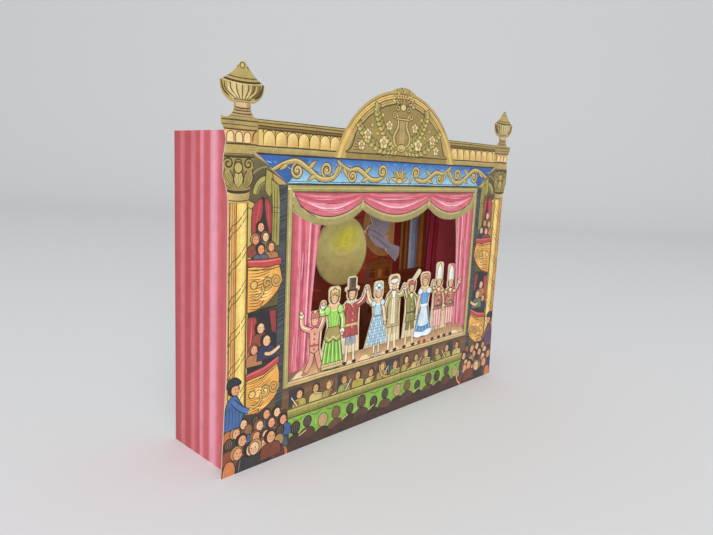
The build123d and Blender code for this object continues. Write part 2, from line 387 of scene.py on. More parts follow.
def hatch(picture, corners, spacing, lean, width=0.22, colour=LINE):
    """Parallel strokes, lean degrees from level, across a box given by two corners."""
    (x0, z0), (x1, z1) = corners
    middle, reach = ((x0 + x1) / 2, (z0 + z1) / 2), math.hypot(x1 - x0, z1 - z0) / 2
    along = (math.cos(math.radians(lean)), math.sin(math.radians(lean)))
    offset = -reach
    while offset < reach:
        base = (middle[0] - along[1] * offset, middle[1] + along[0] * offset)
        inside = [t for t in np.linspace(-reach, reach, 25)
                  if x0 <= base[0] + along[0] * t <= x1 and z0 <= base[1] + along[1] * t <= z1]
        if len(inside) > 1:
            ends = [(base[0] + along[0] * t, base[1] + along[1] * t) for t in (inside[0], inside[-1])]
            picture.pen(ends, width * chance.uniform(0.7, 1.2), colour, tip=0.4)
        offset += spacing * chance.uniform(0.8, 1.2)


def leaf(x, z, length, width, lean):
    """A pointed leaf from its stalk at x, z."""
    turned = math.radians(lean)
    points = []
    for side in (1, -1):
        for i in range(5):
            t = i / 5 if side > 0 else 1 - i / 5
            u, v = length * t, side * width / 2 * math.sin(math.pi * t**0.8)
            points.append((x + u * math.cos(turned) - v * math.sin(turned),
                           z + u * math.sin(turned) + v * math.cos(turned)))
    return points


def volute(x, z, radius, start, turns=1.6, way=1):
    """A scroll's line, winding in from its outer turn."""
    count = round(12 * turns)
    points = []
    for i in range(count + 1):
        angle = math.radians(start + way * 360 * turns * i / count)
        r = radius * (1 - 0.82 * i / count)
        points.append((x + r * math.cos(angle), z + r * math.sin(angle)))
    return points


def gilt(picture, points, width, colour=GOLD, shine=GOLD_LIGHT, tip=0.5):
    """A gilt band along a line: dark edges, gold, and light along its upper side."""
    picture.pen(points, width + 0.7, LINE, tip)
    picture.pen(points, width, colour, tip)
    picture.pen([(x, z + width * 0.2) for x, z in points], width * 0.3, shine, tip)


# %% Cornice, egg-and-dart band and end blocks
PANEL_EDGE, CORNICE_TOP, FRIEZE_TOP, FRIEZE_FOOT = 93.0, 128.4, 116.6, 106.3
EGG_PITCH = 5.3


def cornice(picture):
    picture.fill(bar(-PANEL_EDGE, PANEL_EDGE, -1, 150), GOLD)
    first = len(picture.shapes)
    picture.fill(bar(-92, 0, 116.4, 129), "#b09a5e")
    picture.fill(bar(-76, 0, 126.2, 127.3), "#a38c4e")
    picture.fill(bar(-76, 0, 125.2, 126.1), "#7d6638")
    for i in range(9):
        x = -76 + 8.4 * i
        picture.fill(bar(x, x + 8.4, 119.4, 125.0), ("#d9b768", "#d8b06a", "#c9ab5c")[i % 3])
    for i in range(14):
        x = -EGG_PITCH * (i + 0.5)
        egg = [(x - 2.1, 119.6), *oval(x, 122.4, 2.1, 2.2, 0, 180, 0), (x + 2.1, 119.6)]
        picture.fill(egg, wash("#ecd28a", "#c99f58", (x - 1.5, 124), (x + 2, 120)))
        picture.pen([(x - 2.55, 119.7), *oval(x, 122.2, 2.55, 2.6, 0, 180, 0), (x + 2.55, 119.7)], 0.32)
        picture.pen([(x - 2.65, 124.8), (x - 2.65, 120.4)], 0.3)
        picture.fill(leaf(x - 2.65, 125.1, 1.6, 0.9, -90), "#8d6a36")
    picture.fill(bar(-76, 0, 117.0, 119.0), wash("#b3a066", "#a08a4e", (-60, 119), (-60, 117)))
    for z, width in ((128.2, 0.3), (127.3, 0.4), (126.1, 0.5), (125.1, 0.6), (119.3, 0.55), (116.8, 0.5)):
        rule(picture, -77, 0, z, width)
    picture.pen([(-76.3, 124.6), (-76.5, 127.8)], 0.4)
    # The block that carries the urn breaks forward from the cornice.
    picture.fill(bar(-92, -76.5, 124.0, 128.8), "#a8935a")
    picture.fill(bar(-90.5, -77, 119.6, 124.0), wash("#dcae74", "#cf9d63", (-88, 120), (-80, 124)))
    picture.fill(bar(-90.5, -77, 115.6, 119.2), "#b39d60")
    for x in (-87.6, -84.2, -80.8):
        picture.outlined([(x - 1.4, 119.9), *oval(x, 121.9, 1.4, 1.7, 0, 180, 0), (x + 1.4, 119.9)], "#e8c98e", 0.3)
    picture.pen(bend([(-78.6, 120.2), (-78.4, 122.8), (-76.9, 124.4)]), 0.5)
    for z, x0, x1, width in ((128.6, -90.8, -79, 0.35), (127.2, -91.2, -76.6, 0.5), (125.6, -91.2, -76.6, 0.3),
                             (124.2, -91, -76.6, 0.55), (119.4, -89.8, -76.8, 0.6), (115.6, -90.2, -78, 0.6)):
        rule(picture, x0, x1, z, width)
    hatch(picture, ((-90.8, 124.4), (-86, 127)), 0.7, 8)
    hatch(picture, ((-82, 116), (-77.4, 119)), 0.6, 4)
    picture.mirrored(first)


cornice(front)
print("cornice drawn:", len(front.shapes), "shapes")


# %% Urns
URN_X, PLINTH_Z = -83.0, 131.3


def urn(picture):
    x = URN_X
    first = len(picture.shapes)
    picture.fill(oval(x, 139, 10, 9), "#ae9a5c")
    picture.fill(bar(x - 10, x + 10, 128.6, 134), "#b39a66")
    picture.fill(oval(x - 1.5, 136.6, 4.5, 3.0), "#c8b37a")
    picture.fill(oval(x + 5.2, 137.0, 2.6, 2.6), "#8a7440")
    for i in range(7):
        lean = (i - 3) / 3
        picture.pen(bend([(x + 7.2 * lean, 139.2), (x + 6.6 * lean, 136.8), (x + 2.6 * lean, 134.0)]), 0.42)
    for i in range(6):
        lean = (i - 2.5) / 3
        picture.pen(bend([(x + 7.0 * lean, 138.9), (x + 6.0 * lean, 136.6), (x + 3.0 * lean, 134.6)]), 0.5, "#d3bf84")
    picture.pen(oval(x, 141.0, 8.7, 1.5, 0, 180, 360), 0.75)
    picture.pen(oval(x, 142.1, 7.9, 1.3, 0, 180, 360), 0.35)
    picture.pen(oval(x, 140.4, 8.6, 1.4, 0, 190, 350), 0.3, "#d8c68c")
    picture.pen(bend([(x - 8.4, 139.6), (x - 7.4, 136.4), (x - 5.0, 134.6)]), 0.6)
    picture.pen(bend([(x + 8.4, 139.6), (x + 7.4, 136.4), (x + 5.0, 134.6)]), 0.9)
    picture.pen(bend([(x - 5.6, 141.4), (x - 3.4, 143.6), (x - 1.6, 144.6)]), 0.35)
    picture.pen(bend([(x + 5.6, 141.4), (x + 3.4, 143.4), (x + 1.6, 144.6)]), 0.6)
    picture.outlined(oval(x - 0.2, 144.9, 0.9), "#c6b076", 0.3)
    picture.pen([(x - 3.3, 133.9), (x + 3.3, 133.9)], 0.6)
    picture.pen([(x - 2.6, 133.2), (x + 2.8, 133.2)], 0.3)
    picture.fill(bar(x - 2.4, x + 1.4, 131.6, 133.0), "#cfae8a")
    for z, half in ((131.2, 3.2), (130.4, 3.9), (129.4, 5.2)):
        picture.pen(oval(x, z + 0.5, half, 0.6, 0, 185, 355), 0.4)
    hatch(picture, ((x + 1.8, 128.8), (x + 6.4, 133.6)), 0.6, 24, 0.2)
    hatch(picture, ((x + 3.4, 135.0), (x + 8.2, 141.6)), 0.62, 58, 0.2)
    picture.mirrored(first)


urn(front)

# %% Pediment with a shell, a lyre and laurel
PEDIMENT_HALF, PEDIMENT_RISE = 34.4, 18.1
arch_radius = (PEDIMENT_HALF**2 + PEDIMENT_RISE**2) / (2 * PEDIMENT_RISE)
arch_z = CORNICE_TOP + PEDIMENT_RISE - arch_radius


def arch(inset, start=36, stop=144):
    return oval(0, arch_z, arch_radius - inset, None, 0, start, stop)


def pediment(picture):
    for inset, colour in ((0, "#b29a5e"), (1.3, "#dcb76a"), (3.0, "#c09a52"), (3.9, "#b8a266"), (5.4, "#96804a")):
        picture.fill(arch(inset, 0, 180), colour)
    for inset, width in ((1.2, 0.35), (2.2, 0.18), (3.2, 0.4), (4.2, 0.2), (5.4, 0.6)):
        picture.pen(arch(inset), width)
    for i in range(46):
        angle = math.radians(38 + 104 * i / 45)
        r0, r1 = arch_radius - 5.7, arch_radius - chance.uniform(8.5, 12.5)
        picture.pen([(r0 * math.cos(angle), arch_z + r0 * math.sin(angle)),
                     (r1 * math.cos(angle), arch_z + r1 * math.sin(angle))], 0.24, "#5d4c2a", 0.3)
    base = bend([(-34, 119.6), (-31, 121.2), (-29.4, 124.6), (-28, 128), (-24, 129.6)])
    picture.fill([*base, (24, 129.6), *[(-x, z) for x, z in base[::-1]][1:]], "#9d8750")
    first = len(picture.shapes)
    picture.pen(base, 0.6)
    for i in range(6):
        rule(picture, -30.0 + 0.5 * i, -25.6, 120.6 + 1.1 * i, 0.26)
    # Laurel: two boughs that rise from under the lyre towards the springing of the arch.
    for bough in ([(-3, 121.6), (-10, 120.9), (-18, 123.4), (-24, 127.4), (-27.6, 131.6)],
                  [(-4, 124), (-9.6, 126.6), (-14, 131.4), (-16.6, 136.6), (-16.2, 139.4)]):
        stem = bend(bough, 3)
        picture.pen(stem, 0.6, "#6d5c30")
        for i, ((x0, z0), (x1, z1)) in enumerate(zip(stem, stem[1:])):
            lean = math.degrees(math.atan2(z1 - z0, x1 - x0))
            for side, tone in ((48, "#c3b46a"), (-52, "#a39550")):
                size = 3.5 - 0.12 * i
                picture.fill(leaf(x0, z0, size + 0.5, 2.1, lean + side), LINE)
                picture.fill(leaf(x0, z0, size, 1.55, lean + side), tone)
                picture.pen([(x0, z0), (x0 + 0.7 * size * math.cos(math.radians(lean + side)),
                                       z0 + 0.7 * size * math.sin(math.radians(lean + side)))], 0.16, "#7a6a36")
    # Roses in the boughs.
    for x, z, r in ((-11.6, 124.4, 2.5), (-21.6, 127.2, 2.1), (-8.6, 131.6, 1.9), (-25.0, 122.6, 1.9)):
        for i in range(5):
            angle = math.radians(72 * i + 20)
            picture.outlined(oval(x + 0.62 * r * math.cos(angle), z + 0.62 * r * math.sin(angle), 0.5 * r),
                             ("#e4d7a4", "#d8c688")[i % 2], 0.24)
        picture.outlined(oval(x, z, 0.42 * r), "#cf9d5a", 0.22)
    for x, z in ((-6.6, 122.2), (-15.8, 127.8), (-19.2, 131.0), (-13.0, 135.6), (-22.6, 124.6)):
        picture.outlined(oval(x, z, 0.75), "#d8c15a", 0.2)
    # Half of the lyre: an S-shaped arm that ends in a scroll.
    gilt(picture, bend([(-1.2, 122.6), (-4.6, 124.2), (-5.2, 127.6), (-2.9, 131.4), (-3.3, 135.4), (-5.4, 137.4)]), 1.25)
    gilt(picture, volute(-5.4, 136.0, 1.5, 60, 1.1), 0.6)
    picture.mirrored(first)
    for i in range(5):
        x = -1.6 + 0.8 * i
        picture.pen([(x * 0.8, 124.2), (x, 134.6)], 0.22, "#e6d9a0")
    gilt(picture, [(-4.4, 134.8), (4.4, 134.8)], 0.7, tip=0.9)
    picture.outlined(oval(0, 122.6, 3.0, 1.7), "#c0aa68")
    picture.pen(oval(0, 122.6, 1.7, 0.8, 0, 200, 340), 0.3)
    # The shell on the crown.
    for i in range(9):
        angle = math.radians(10 + 20 * i)
        tipx, tipz = 7.2 * math.cos(angle), 140.2 + 7.0 * math.sin(angle)
        rib = [(-0.6, 139.6), *oval(tipx * 0.92, 140.2 + 0.92 * (tipz - 140.2), 1.5, None, 20 * i - 80, -80, 80),
               (0.6, 139.6)]
        picture.outlined(rib, ("#c9b672", "#b09a58")[i % 2], 0.32)
    picture.outlined(oval(0, 139.8, 1.9, 1.5), "#d2bd78", 0.35)
    gilt(picture, volute(-3.4, 139.4, 1.5, 100, 1.2), 0.55)
    gilt(picture, volute(3.4, 139.4, 1.5, 80, 1.2, -1), 0.55)
    rule(picture, -34, 34, 119.3, 0.55)


pediment(front)
print("pediment drawn:", len(front.shapes), "shapes")

# %% Frieze: blue with an acanthus scroll
FRIEZE_TOP_HALF, FRIEZE_FOOT_HALF = 76.5, 62.5


def frieze(picture):
    foot, top = FRIEZE_FOOT, FRIEZE_TOP
    outline = [(-FRIEZE_FOOT_HALF, foot), (FRIEZE_FOOT_HALF, foot), (FRIEZE_TOP_HALF, top), (-FRIEZE_TOP_HALF, top)]
    picture.fill(outline, wash("#9fd0e0", "#3b6cb0", (0, foot), (0, top - 1.0)))
    first = len(picture.shapes)
    picture.fill([(-76.5, top), (-62.8, foot + 0.2), (-60, foot + 3), (-56, 112), (-52, top)], "#3a62a4")
    for i in range(64):
        x = -73 + 73 * i / 64 + chance.uniform(-0.5, 0.5)
        z = chance.uniform(111.2, 116.0)
        tone = chance.choice(("#2f5ea6", "#4f8ccb", "#83b9e0", "#2b4f8e", "#a9d6ea"))
        picture.pen([(x, z), (x + chance.uniform(1.2, 2.6), z - chance.uniform(0.4, 1.4))],
                    chance.uniform(0.3, 0.7), tone, 0.3)
    for i in range(30):
        x = -61 + 2.0 * i + chance.uniform(-0.6, 0.6)
        picture.pen([(x, foot + 0.5), (x + chance.uniform(0.8, 1.8), foot + chance.uniform(1.2, 3.4))],
                    chance.uniform(0.25, 0.6), chance.choice(("#cdeaf0", "#b5dfe9", "#5f9fc6")), 0.3)
    hatch(picture, ((-74, 107.4), (-57, 116.2)), 0.85, -32, 0.2, "#223a66")
    hatch(picture, ((-66, 107), (-60, 113)), 0.8, 32, 0.2, "#223a66")
    # The scroll's stem, its curls and the leaves that sheathe them.
    stems = (
        [(-70.2, 111.2), (-64.6, 113.7), (-58.8, 114.8), (-53.4, 112.4), (-47.6, 108.9), (-42.0, 108.5), (-37.8, 111.0),
         (-35.4, 114.6)],
        [(-35.8, 114.2), (-31.0, 112.2), (-26.6, 112.9), (-22.4, 110.9), (-18.0, 108.7), (-13.0, 109.0), (-9.4, 111.0)],
    )
    curls = ((-58.4, 111.2, 2.9, 110, 1), (-43.6, 112.0, 2.9, 250, -1), (-29.4, 109.9, 2.6, 120, 1),
             (-11.4, 112.2, 2.7, 330, 1))
    for stem in stems:
        gilt(picture, bend(stem, 4), 1.9, "#b29a5c")
    for x, z, radius, start, way in curls:
        gilt(picture, volute(x, z, radius, start, 1.5, way), 1.15, "#b59c60")
        picture.outlined(oval(x, z, 0.7), GOLD_LIGHT, 0.25)
    for x, z, length, lean in ((-53.0, 112.2, 5.0, 40), (-49.0, 110.0, 4.6, 205), (-39.6, 109.8, 5.2, 60),
                               (-35.6, 113.8, 3.6, 140), (-34.6, 113.4, 5.0, -60), (-22.4, 111.2, 4.8, 35),
                               (-20.0, 109.4, 4.4, 200), (-63.0, 113.6, 4.4, -150), (-8.6, 110.4, 3.6, -60)):
        picture.fill(leaf(x, z, length + 0.5, 2.1, lean), LINE)
        picture.fill(leaf(x, z, length, 1.5, lean), "#c0aa6a")
    picture.mirrored(first)
    # A palmette in the middle.
    for i in range(7):
        lean = 15 + 25 * i
        picture.fill(leaf(0, 108.2, 6.3, 2.2, lean), LINE)
        picture.fill(leaf(0, 108.2, 5.8, 1.6, lean), ("#c9b371", "#b59d5c")[i % 2])
    picture.outlined(oval(0, 108.4, 2.1, 1.2), "#cdb878", 0.3)
    for z, half, width in ((top, FRIEZE_TOP_HALF, 0.6), (foot + 0.2, FRIEZE_FOOT_HALF, 0.7)):
        rule(picture, -half, half, z, width, "#2c3040")
    rule(picture, -62, 62, foot + 1.1, 0.3, "#33517c")


frieze(front)
print("frieze drawn:", len(front.shapes), "shapes")

# %% Columns and capitals
COLUMN_OUT, COLUMN_IN = -90.0, -80.3


def column(picture):
    out, inner = COLUMN_OUT, COLUMN_IN
    picture.fill(bar(out, inner, 20, 101), "#d9a95c")
    strips = ((out, -87.6, "#c79a5c", "#d2a768"), (-87.5, -86.6, "#e6bd7a", "#d8a765"), (-86.5, -84.9, "#d59d58", "#cb9450"),
              (-84.8, -83.0, "#e3b659", "#efd27a"), (-83.0, -81.2, "#efd27a", "#ead07a"), (-81.2, inner, "#e3bd64", "#c79b4c"))
    for x0, x1, first_tone, last_tone in strips:
        picture.fill(bar(x0, x1, 20, 101), wash(first_tone, last_tone, (x0, 0), (x1, 0)))
    for x, width in ((-87.5, 0.45), (-86.6, 0.2), (-84.85, 0.35), (-85.6, 0.18), (inner, 0.55)):
        picture.pen([(x + chance.uniform(-0.05, 0.05), z) for z in range(20, 102, 9)], width, "#5c431f", 1.0)
    for z in (25, 38.5, 51, 64, 76.5, 89):
        for lift in (0.0, 2.6):
            picture.pen(bend([(-88.0, z + lift - 4.2), (-86.6, z + lift), (-84.6, z + lift + 1.2), (-82.4, z + lift + 3.6),
                              (inner, z + lift + 6.6)]), 0.34, "#5c431f")
    picture.pen([(-82.6, 22), (-82.4, 99)], 0.5, "#f4df98", 0.6)


def capital(picture):
    picture.fill([(-88.4, 99.6), (-80, 99.6), (-78.0, 115.6), (-90.4, 115.6)], "#94814a")
    picture.fill(bar(-88.6, -79.8, 99.8, 103.4), wash("#cdb472", "#a8905a", (-88, 0), (-80, 0)))
    picture.pen(oval(-84.2, 101.0, 4.4, 0.7, 0, 180, 360), 0.35)
    picture.pen(oval(-84.2, 104.2, 4.6, 0.9, 0, 180, 360), 1.0, "#3c3320")
    for x, lean, tone in ((-87.4, 104, "#a79556"), (-84.2, 90, "#b8a565"), (-81.0, 76, "#a79556")):
        picture.fill(leaf(x, 104.6, 8.2, 4.4, lean), "#3c3320")
        picture.fill(leaf(x, 104.8, 7.4, 3.5, lean), tone)
        for side in (-28, 0, 28):
            picture.pen([(x, 105.4), (x + 3.4 * math.cos(math.radians(lean + side)),
                                      105.4 + 5.0 * math.sin(math.radians(lean + side)))], 0.3, "#4b4026", 0.3)
    for x, start, way in ((-88.3, 200, -1), (-80.2, -20, 1)):
        picture.fill(oval(x, 112.9, 2.3), "#a08d50")
        picture.pen(volute(x, 112.9, 2.2, start, 1.5, way), 0.6, "#3c3320")
    picture.outlined(oval(-84.3, 111.6, 1.7, 1.9), "#b6a15e", 0.45, "#3c3320")
    picture.pen(bend([(-86.4, 109.4), (-85.6, 113.6), (-84.3, 114.4), (-83.0, 113.6), (-82.2, 109.4)]), 0.4, "#3c3320")
    rule(picture, -90.3, -78.0, 115.2, 0.7, "#3c3320")
    rule(picture, -90.3, -78.2, 116.2, 0.3)
    hatch(picture, ((-90, 105), (-86.6, 110)), 0.6, 60, 0.24, "#3c3320")
    hatch(picture, ((-82.2, 105), (-79, 111)), 0.5, 120, 0.28, "#3c3320")


print("columns go on last, in front of the boxes")

# %% [markdown]
# ## Curtain, swags and stage edge
# The swags are three arcs that end in a fringe, and the curtains fall from behind them. Each fold is one
# stroke of deep pink beside one of pale pink, which is how a litho artist turns flat colour into velvet.

# %% Swags and curtains
SWAG_FOOT, SWAG_DROP, SWAG_PEAK_X, OUTER_SWAG_END = 90.3, 6.2, 22.5, 58.0
FRAME_INNER, FRAME_FOOT_Z, SWAG_TOP = 60.0, 28.0, 103.7
FRINGE = "#a59a62"


def swag_arc(x0, x1, low, drop, steps=14):
    """A hanging arc from x0 to x1 whose ends are drop above its lowest point."""
    return [(x0 + (x1 - x0) * i / steps, low + drop * (2 * i / steps - 1) ** 2) for i in range(steps + 1)]


def curtain(picture):
    """The left curtain, from its pelmet to a fringed foot; it is drawn in before the swags."""
    picture.fill(bar(-60, -44, 31.5, 99), PINK)
    picture.fill([(-60, 32), (-60, 98), (-57.4, 98), (-58.4, 32)], "#b9525f")
    folds = (
        ([(-58.2, 97), (-58.0, 70), (-58.6, 34)], 1.3, "#c75f6c"),
        ([(-56.4, 97), (-56.2, 70), (-57.0, 33)], 1.5, "#e08a97"),
        ([(-54.6, 96), (-54.4, 72), (-55.2, 34)], 1.7, "#bd5562"),
        ([(-52.6, 95), (-52.8, 72), (-53.4, 34)], 1.6, "#d97483"),
        ([(-51.0, 94), (-51.6, 70), (-52.4, 36)], 0.8, "#efb0bb"),
        ([(-49.6, 93), (-50.4, 70), (-51.4, 34)], 1.5, "#b34c5b"),
        ([(-47.6, 92.5), (-48.9, 70), (-50.2, 52)], 1.4, "#e08c99"),
        ([(-46.0, 92), (-47.8, 72), (-49.2, 60)], 0.9, "#c25c6b"),
    )
    for line, width, tone in folds:
        picture.pen(bend(line), width, tone, 0.7)
    for i in range(22):
        x, z = chance.uniform(-59, -48), chance.uniform(40, 90)
        picture.pen(bend([(x, z), (x - 0.1, z - 5), (x - 0.5, z - chance.uniform(8, 16))]),
                    chance.uniform(0.18, 0.35), chance.choice(("#8f3a4a", "#f0b9c2", "#a5475a")), 0.2)
    picture.pen(bend([(-44.9, 93), (-46.8, 80), (-48.9, 62), (-50.0, 35)]), 0.7, "#e8a9b2")
    picture.fill([(-60, 29.8), (-51.0, 30.8), (-51.2, 33.8), (-60, 32.8)], "#6d5444")
    for i in range(16):
        x = -59.6 + 0.56 * i
        picture.pen([(x, 30.2 + 0.06 * i), (x, 33.0 + 0.06 * i)], 0.26, "#a98a6a")
    picture.pen([(-60, 33.0), (-51, 34.0)], 0.4, "#5d3036")


def swag(picture, x0, x1, low, drop):
    """One swag: velvet above its arc, folds that follow the arc, and a fringe."""
    edge = swag_arc(x0, x1, low + 3.4, drop)
    picture.fill([*edge, (x1, SWAG_TOP + 1), (x0, SWAG_TOP + 1)], "#c7606c")
    span, rise = x1 - x0, SWAG_TOP - low - 3.4
    for t, width, tone, part in ((0.14, 2.2, "#cf6c78", 1.0), (0.40, 1.5, "#e38a98", 0.9), (0.30, 0.7, "#f4c1ca", 0.62),
                                 (0.62, 1.0, "#bb5462", 0.92), (0.76, 0.8, "#d97886", 0.8), (0.90, 0.7, "#b04c58", 0.85)):
        fold = swag_arc(x0 + span * (1 - part) / 2, x1 - span * (1 - part) / 2, low + 3.6 + rise * t, drop * (1 - t) * part)
        picture.pen(fold, width, tone, 0.25)
    for i in range(9):
        t, part = chance.uniform(0.1, 0.95), chance.uniform(0.2, 0.5)
        middle = x0 + span * chance.uniform(0.35, 0.65)
        fold = swag_arc(middle - span * part / 2, middle + span * part / 2, low + 3.8 + rise * t, drop * (1 - t) * part**2, 6)
        picture.pen(fold, chance.uniform(0.18, 0.4), chance.choice(("#9c4454", "#f0aab6", "#a34a5a")), 0.2)
    fringe = swag_arc(x0, x1, low + 1.6, drop)
    picture.pen(fringe, 3.8, FRINGE, 1.0)
    picture.pen([(x, z + 1.25) for x, z in fringe], 0.8, "#bfae78", 1.0)
    count = round(abs(span) / 0.62)
    for i in range(count + 1):
        x = x0 + span * i / count
        z = low + 1.6 + drop * (2 * i / count - 1) ** 2
        picture.pen([(x, z + 1.0), (x + 0.1, z - 1.6)], 0.2, chance.choice(("#6b5c34", "#857448", "#5a4d2c")), 0.5)
    picture.pen([(x, z + 1.9) for x, z in fringe], 0.4, "#5c3b38", 1.0)
    picture.pen([(x, z - 1.5) for x, z in fringe], 0.28, "#8a7a4c", 1.0)


stage_start = len(front.shapes)
front.fill(bar(-62.5, 62.5, 28, 105), "#ddc9a0")
curtain_start = len(front.shapes)
curtain(front)
swag(front, -OUTER_SWAG_END - 1.5, -SWAG_PEAK_X, SWAG_FOOT + 0.1, SWAG_DROP)
front.mirrored(curtain_start)
swag(front, -SWAG_PEAK_X, SWAG_PEAK_X, SWAG_FOOT, SWAG_DROP)
tails_start = len(front.shapes)
for shift, tone in ((0.0, FRINGE), (0.35, "#c3b27c")):
    front.fill([(-22.5 - 1.2 + shift, 97.2), (-22.5, 101.4 - shift), (-21.3 - shift, 97.2)], tone)
front.pen([(-24.4, 98.2), (-22.5, 101.4), (-20.6, 98.2)], 0.35, "#5c3b38")
front.pen(bend([(-59.5, 101.8), (-57.6, 97.6), (-54.0, 94.6), (-49.2, 92.4)]), 2.6, FRINGE)
front.pen(bend([(-59.2, 103.0), (-56.4, 98.9), (-52.6, 96.0), (-48.2, 93.9)]), 0.4, "#5c3b38")
front.mirrored(tails_start)
print("curtains drawn:", len(front.shapes) - stage_start, "shapes")

# %% [markdown]
# The gilt frame runs round the stage, and the boards come forward as a pale lip over the pit.

# %% Frame and boards
def stage_frame(picture):
    first = len(picture.shapes)
    picture.fill(bar(-66.2, -62.6, 20, 106.2), "#3f444a")
    for i in range(110):
        z = 21 + 0.77 * i
        picture.pen([(-66.1, z), (-62.8, z + 1.1)], 0.26, chance.choice(("#6c7274", "#59605f", "#23262b")), 0.6)
    picture.fill(bar(-62.9, -60.0, 27.6, 104.4), wash("#8f8450", "#b5a76a", (-62.7, 0), (-60.4, 0)))
    picture.pen([(-61.5, 28 + 11 * i) for i in range(8)], 0.4, "#c9bd84")
    picture.pen([(-62.8, 22 + 10.4 * i) for i in range(9)], 0.45, "#3e3a26")
    picture.pen([(-60.1, 29 + 10.4 * i) for i in range(8)], 0.4, "#4c4228")
    picture.fill([(-62.9, 106.4), (0.2, 106.4), (0.2, 103.5), (-60.0, 103.5)], wash("#ac9c60", "#9a8c54", (0, 106), (0, 104)))
    rule(picture, -62.6, 0.2, 106.2, 0.5, "#3e3a26")
    rule(picture, -60.3, 0.2, 103.5, 0.5, "#4c4228")
    rule(picture, -61, 0.2, 104.9, 0.25, "#cfc28a")
    picture.mirrored(first)


def boards(picture):
    """The stage floor, drawn behind the players' feet."""
    picture.fill([(-60, 29.6), (60, 29.6), (56, 35.4), (-51, 35.4)], wash("#dcb07e", "#a5805c", (0, 30), (0, 35.4)))
    for i in range(12):
        x = -52 + 9.2 * i + chance.uniform(-2, 2)
        picture.fill(oval(x, 29.7, chance.uniform(2.6, 4.6), chance.uniform(1.6, 3.0), 0, 0, 180),
                     chance.choice(("#ecc896", "#e6ba84", "#f0d0a4")))
    for i in range(26):
        x = chance.uniform(-56, 56)
        picture.pen([(x, chance.uniform(31, 35)), (x + chance.uniform(2, 6), chance.uniform(31, 35))], 0.22,
                    chance.choice(("#8d6544", "#b98d62")), 0.3)
    picture.fill(bar(-62.6, 62.6, 27.2, 30.0), wash("#e2c896", "#bfa56c", (0, 30), (0, 27.6)))
    rule(picture, -60, 60, 30.0, 0.4, "#5c4628")
    rule(picture, -62, 62, 28.8, 0.22, "#8d7448")
    rule(picture, -62.6, 62.6, 27.3, 0.55, "#4a3a22")


boards(front)
print("boards drawn")

# %% [markdown]
# ## The players
# Nine people take their bow hand in hand. Each one stands inside the die line of the front panel, which
# leaves a cream margin round them. They share one way of being drawn and differ in proportions and dress.

# %% Heads and hands
CREAM, DARK = "#ead9b4", "#3a2c22"


def outline_pen(picture, points, width=0.4, colour=DARK):
    picture.pen([*points, points[0], points[1]], width, colour, tip=1.0)


def face(picture, x, z, r=2.0, skin=FLESH, look=0.0, hair=None):
    """A plain face: hair behind, two dots for the eyes and short strokes for the nose and mouth."""
    if hair:
        picture.outlined(oval(x - 0.25 * r * look, z + 0.2 * r, 1.25 * r, 1.25 * r), hair, 0.3, DARK)
    picture.outlined(oval(x, z, 0.88 * r, 1.06 * r), skin, 0.3, DARK)
    turned = 0.25 * r * look
    for side in (-1, 1):
        picture.fill(oval(x + turned + side * 0.36 * r, z + 0.16 * r, 0.11 * r, 0.13 * r), DARK)
        picture.fill(oval(x + turned + side * 0.48 * r, z - 0.30 * r, 0.22 * r, 0.18 * r), "#e0906e")
    picture.pen([(x + turned * 1.3, z + 0.1 * r), (x + turned * 1.6 + 0.08 * r, z - 0.22 * r)], 0.14 * r, "#9a6a4a")
    picture.pen([(x + turned - 0.22 * r, z - 0.54 * r), (x + turned + 0.22 * r, z - 0.52 * r)], 0.15 * r, "#a04a3c")


def limb(picture, points, width, colour, cuff=None):
    """A sleeve along the points with a hand at its end, and a cuff if it has one."""
    line = bend(points, 4)
    picture.pen(line, width + 0.7, DARK, 1.0)
    picture.pen(line, width, colour, 1.0)
    picture.pen([(x - width * 0.2, z + width * 0.2) for x, z in line], width * 0.25, "#f6ecd2", 0.3)
    x, z = points[-1]
    if cuff:
        picture.outlined(oval(x * 0.8 + points[-2][0] * 0.2, z * 0.8 + points[-2][1] * 0.2, width * 0.62), cuff, 0.25, DARK)
    picture.outlined(oval(x, z, 0.95), FLESH, 0.3, DARK)


def skirt(picture, x, waist_z, waist, hem_z, hem, colour, shade, light, folds=7):
    """A bell skirt with folds that fan out from the waist."""
    edge = bend([(x - waist, waist_z), (x - 0.72 * hem, (waist_z + hem_z) / 2 + 1.5), (x - hem, hem_z)])
    other = [(2 * x - p, q) for p, q in edge[::-1]]
    picture.outlined([*edge, (x, hem_z - 0.5), *other], colour, 0.4, DARK)
    for i in range(folds):
        t = 2 * (i + 0.5) / folds - 1
        line = bend([(x + waist * t * 0.8, waist_z - 0.8), (x + 0.7 * hem * t, (waist_z + hem_z) / 2), (x + 0.95 * hem * t, hem_z + 0.3)])
        picture.pen(line, 0.5, shade if i % 2 else light, 0.3)
        picture.pen([(p + 0.35, q) for p, q in line], 0.2, DARK, 0.2)


def legs(picture, x, top_z, breeches, stockings, spread=2.4, shoe="#33291f"):
    knee = (top_z + 30.6) / 2 + 1.2
    for side in (-1, 1):
        hip, foot = x + side * 1.3, x + side * spread
        shin = hip * 0.45 + foot * 0.55
        picture.pen([(hip, top_z), (shin, knee)], 3.1, DARK, 0.95)
        picture.pen([(hip, top_z), (shin, knee)], 2.5, breeches, 0.95)
        picture.pen([(shin, knee), (foot, 31.0)], 2.1, DARK, 0.85)
        picture.pen([(shin, knee), (foot, 31.2)], 1.5, stockings, 0.85)
        picture.outlined(oval(foot + side * 0.5, 30.9, 1.3, 0.65), shoe, 0.25, DARK)


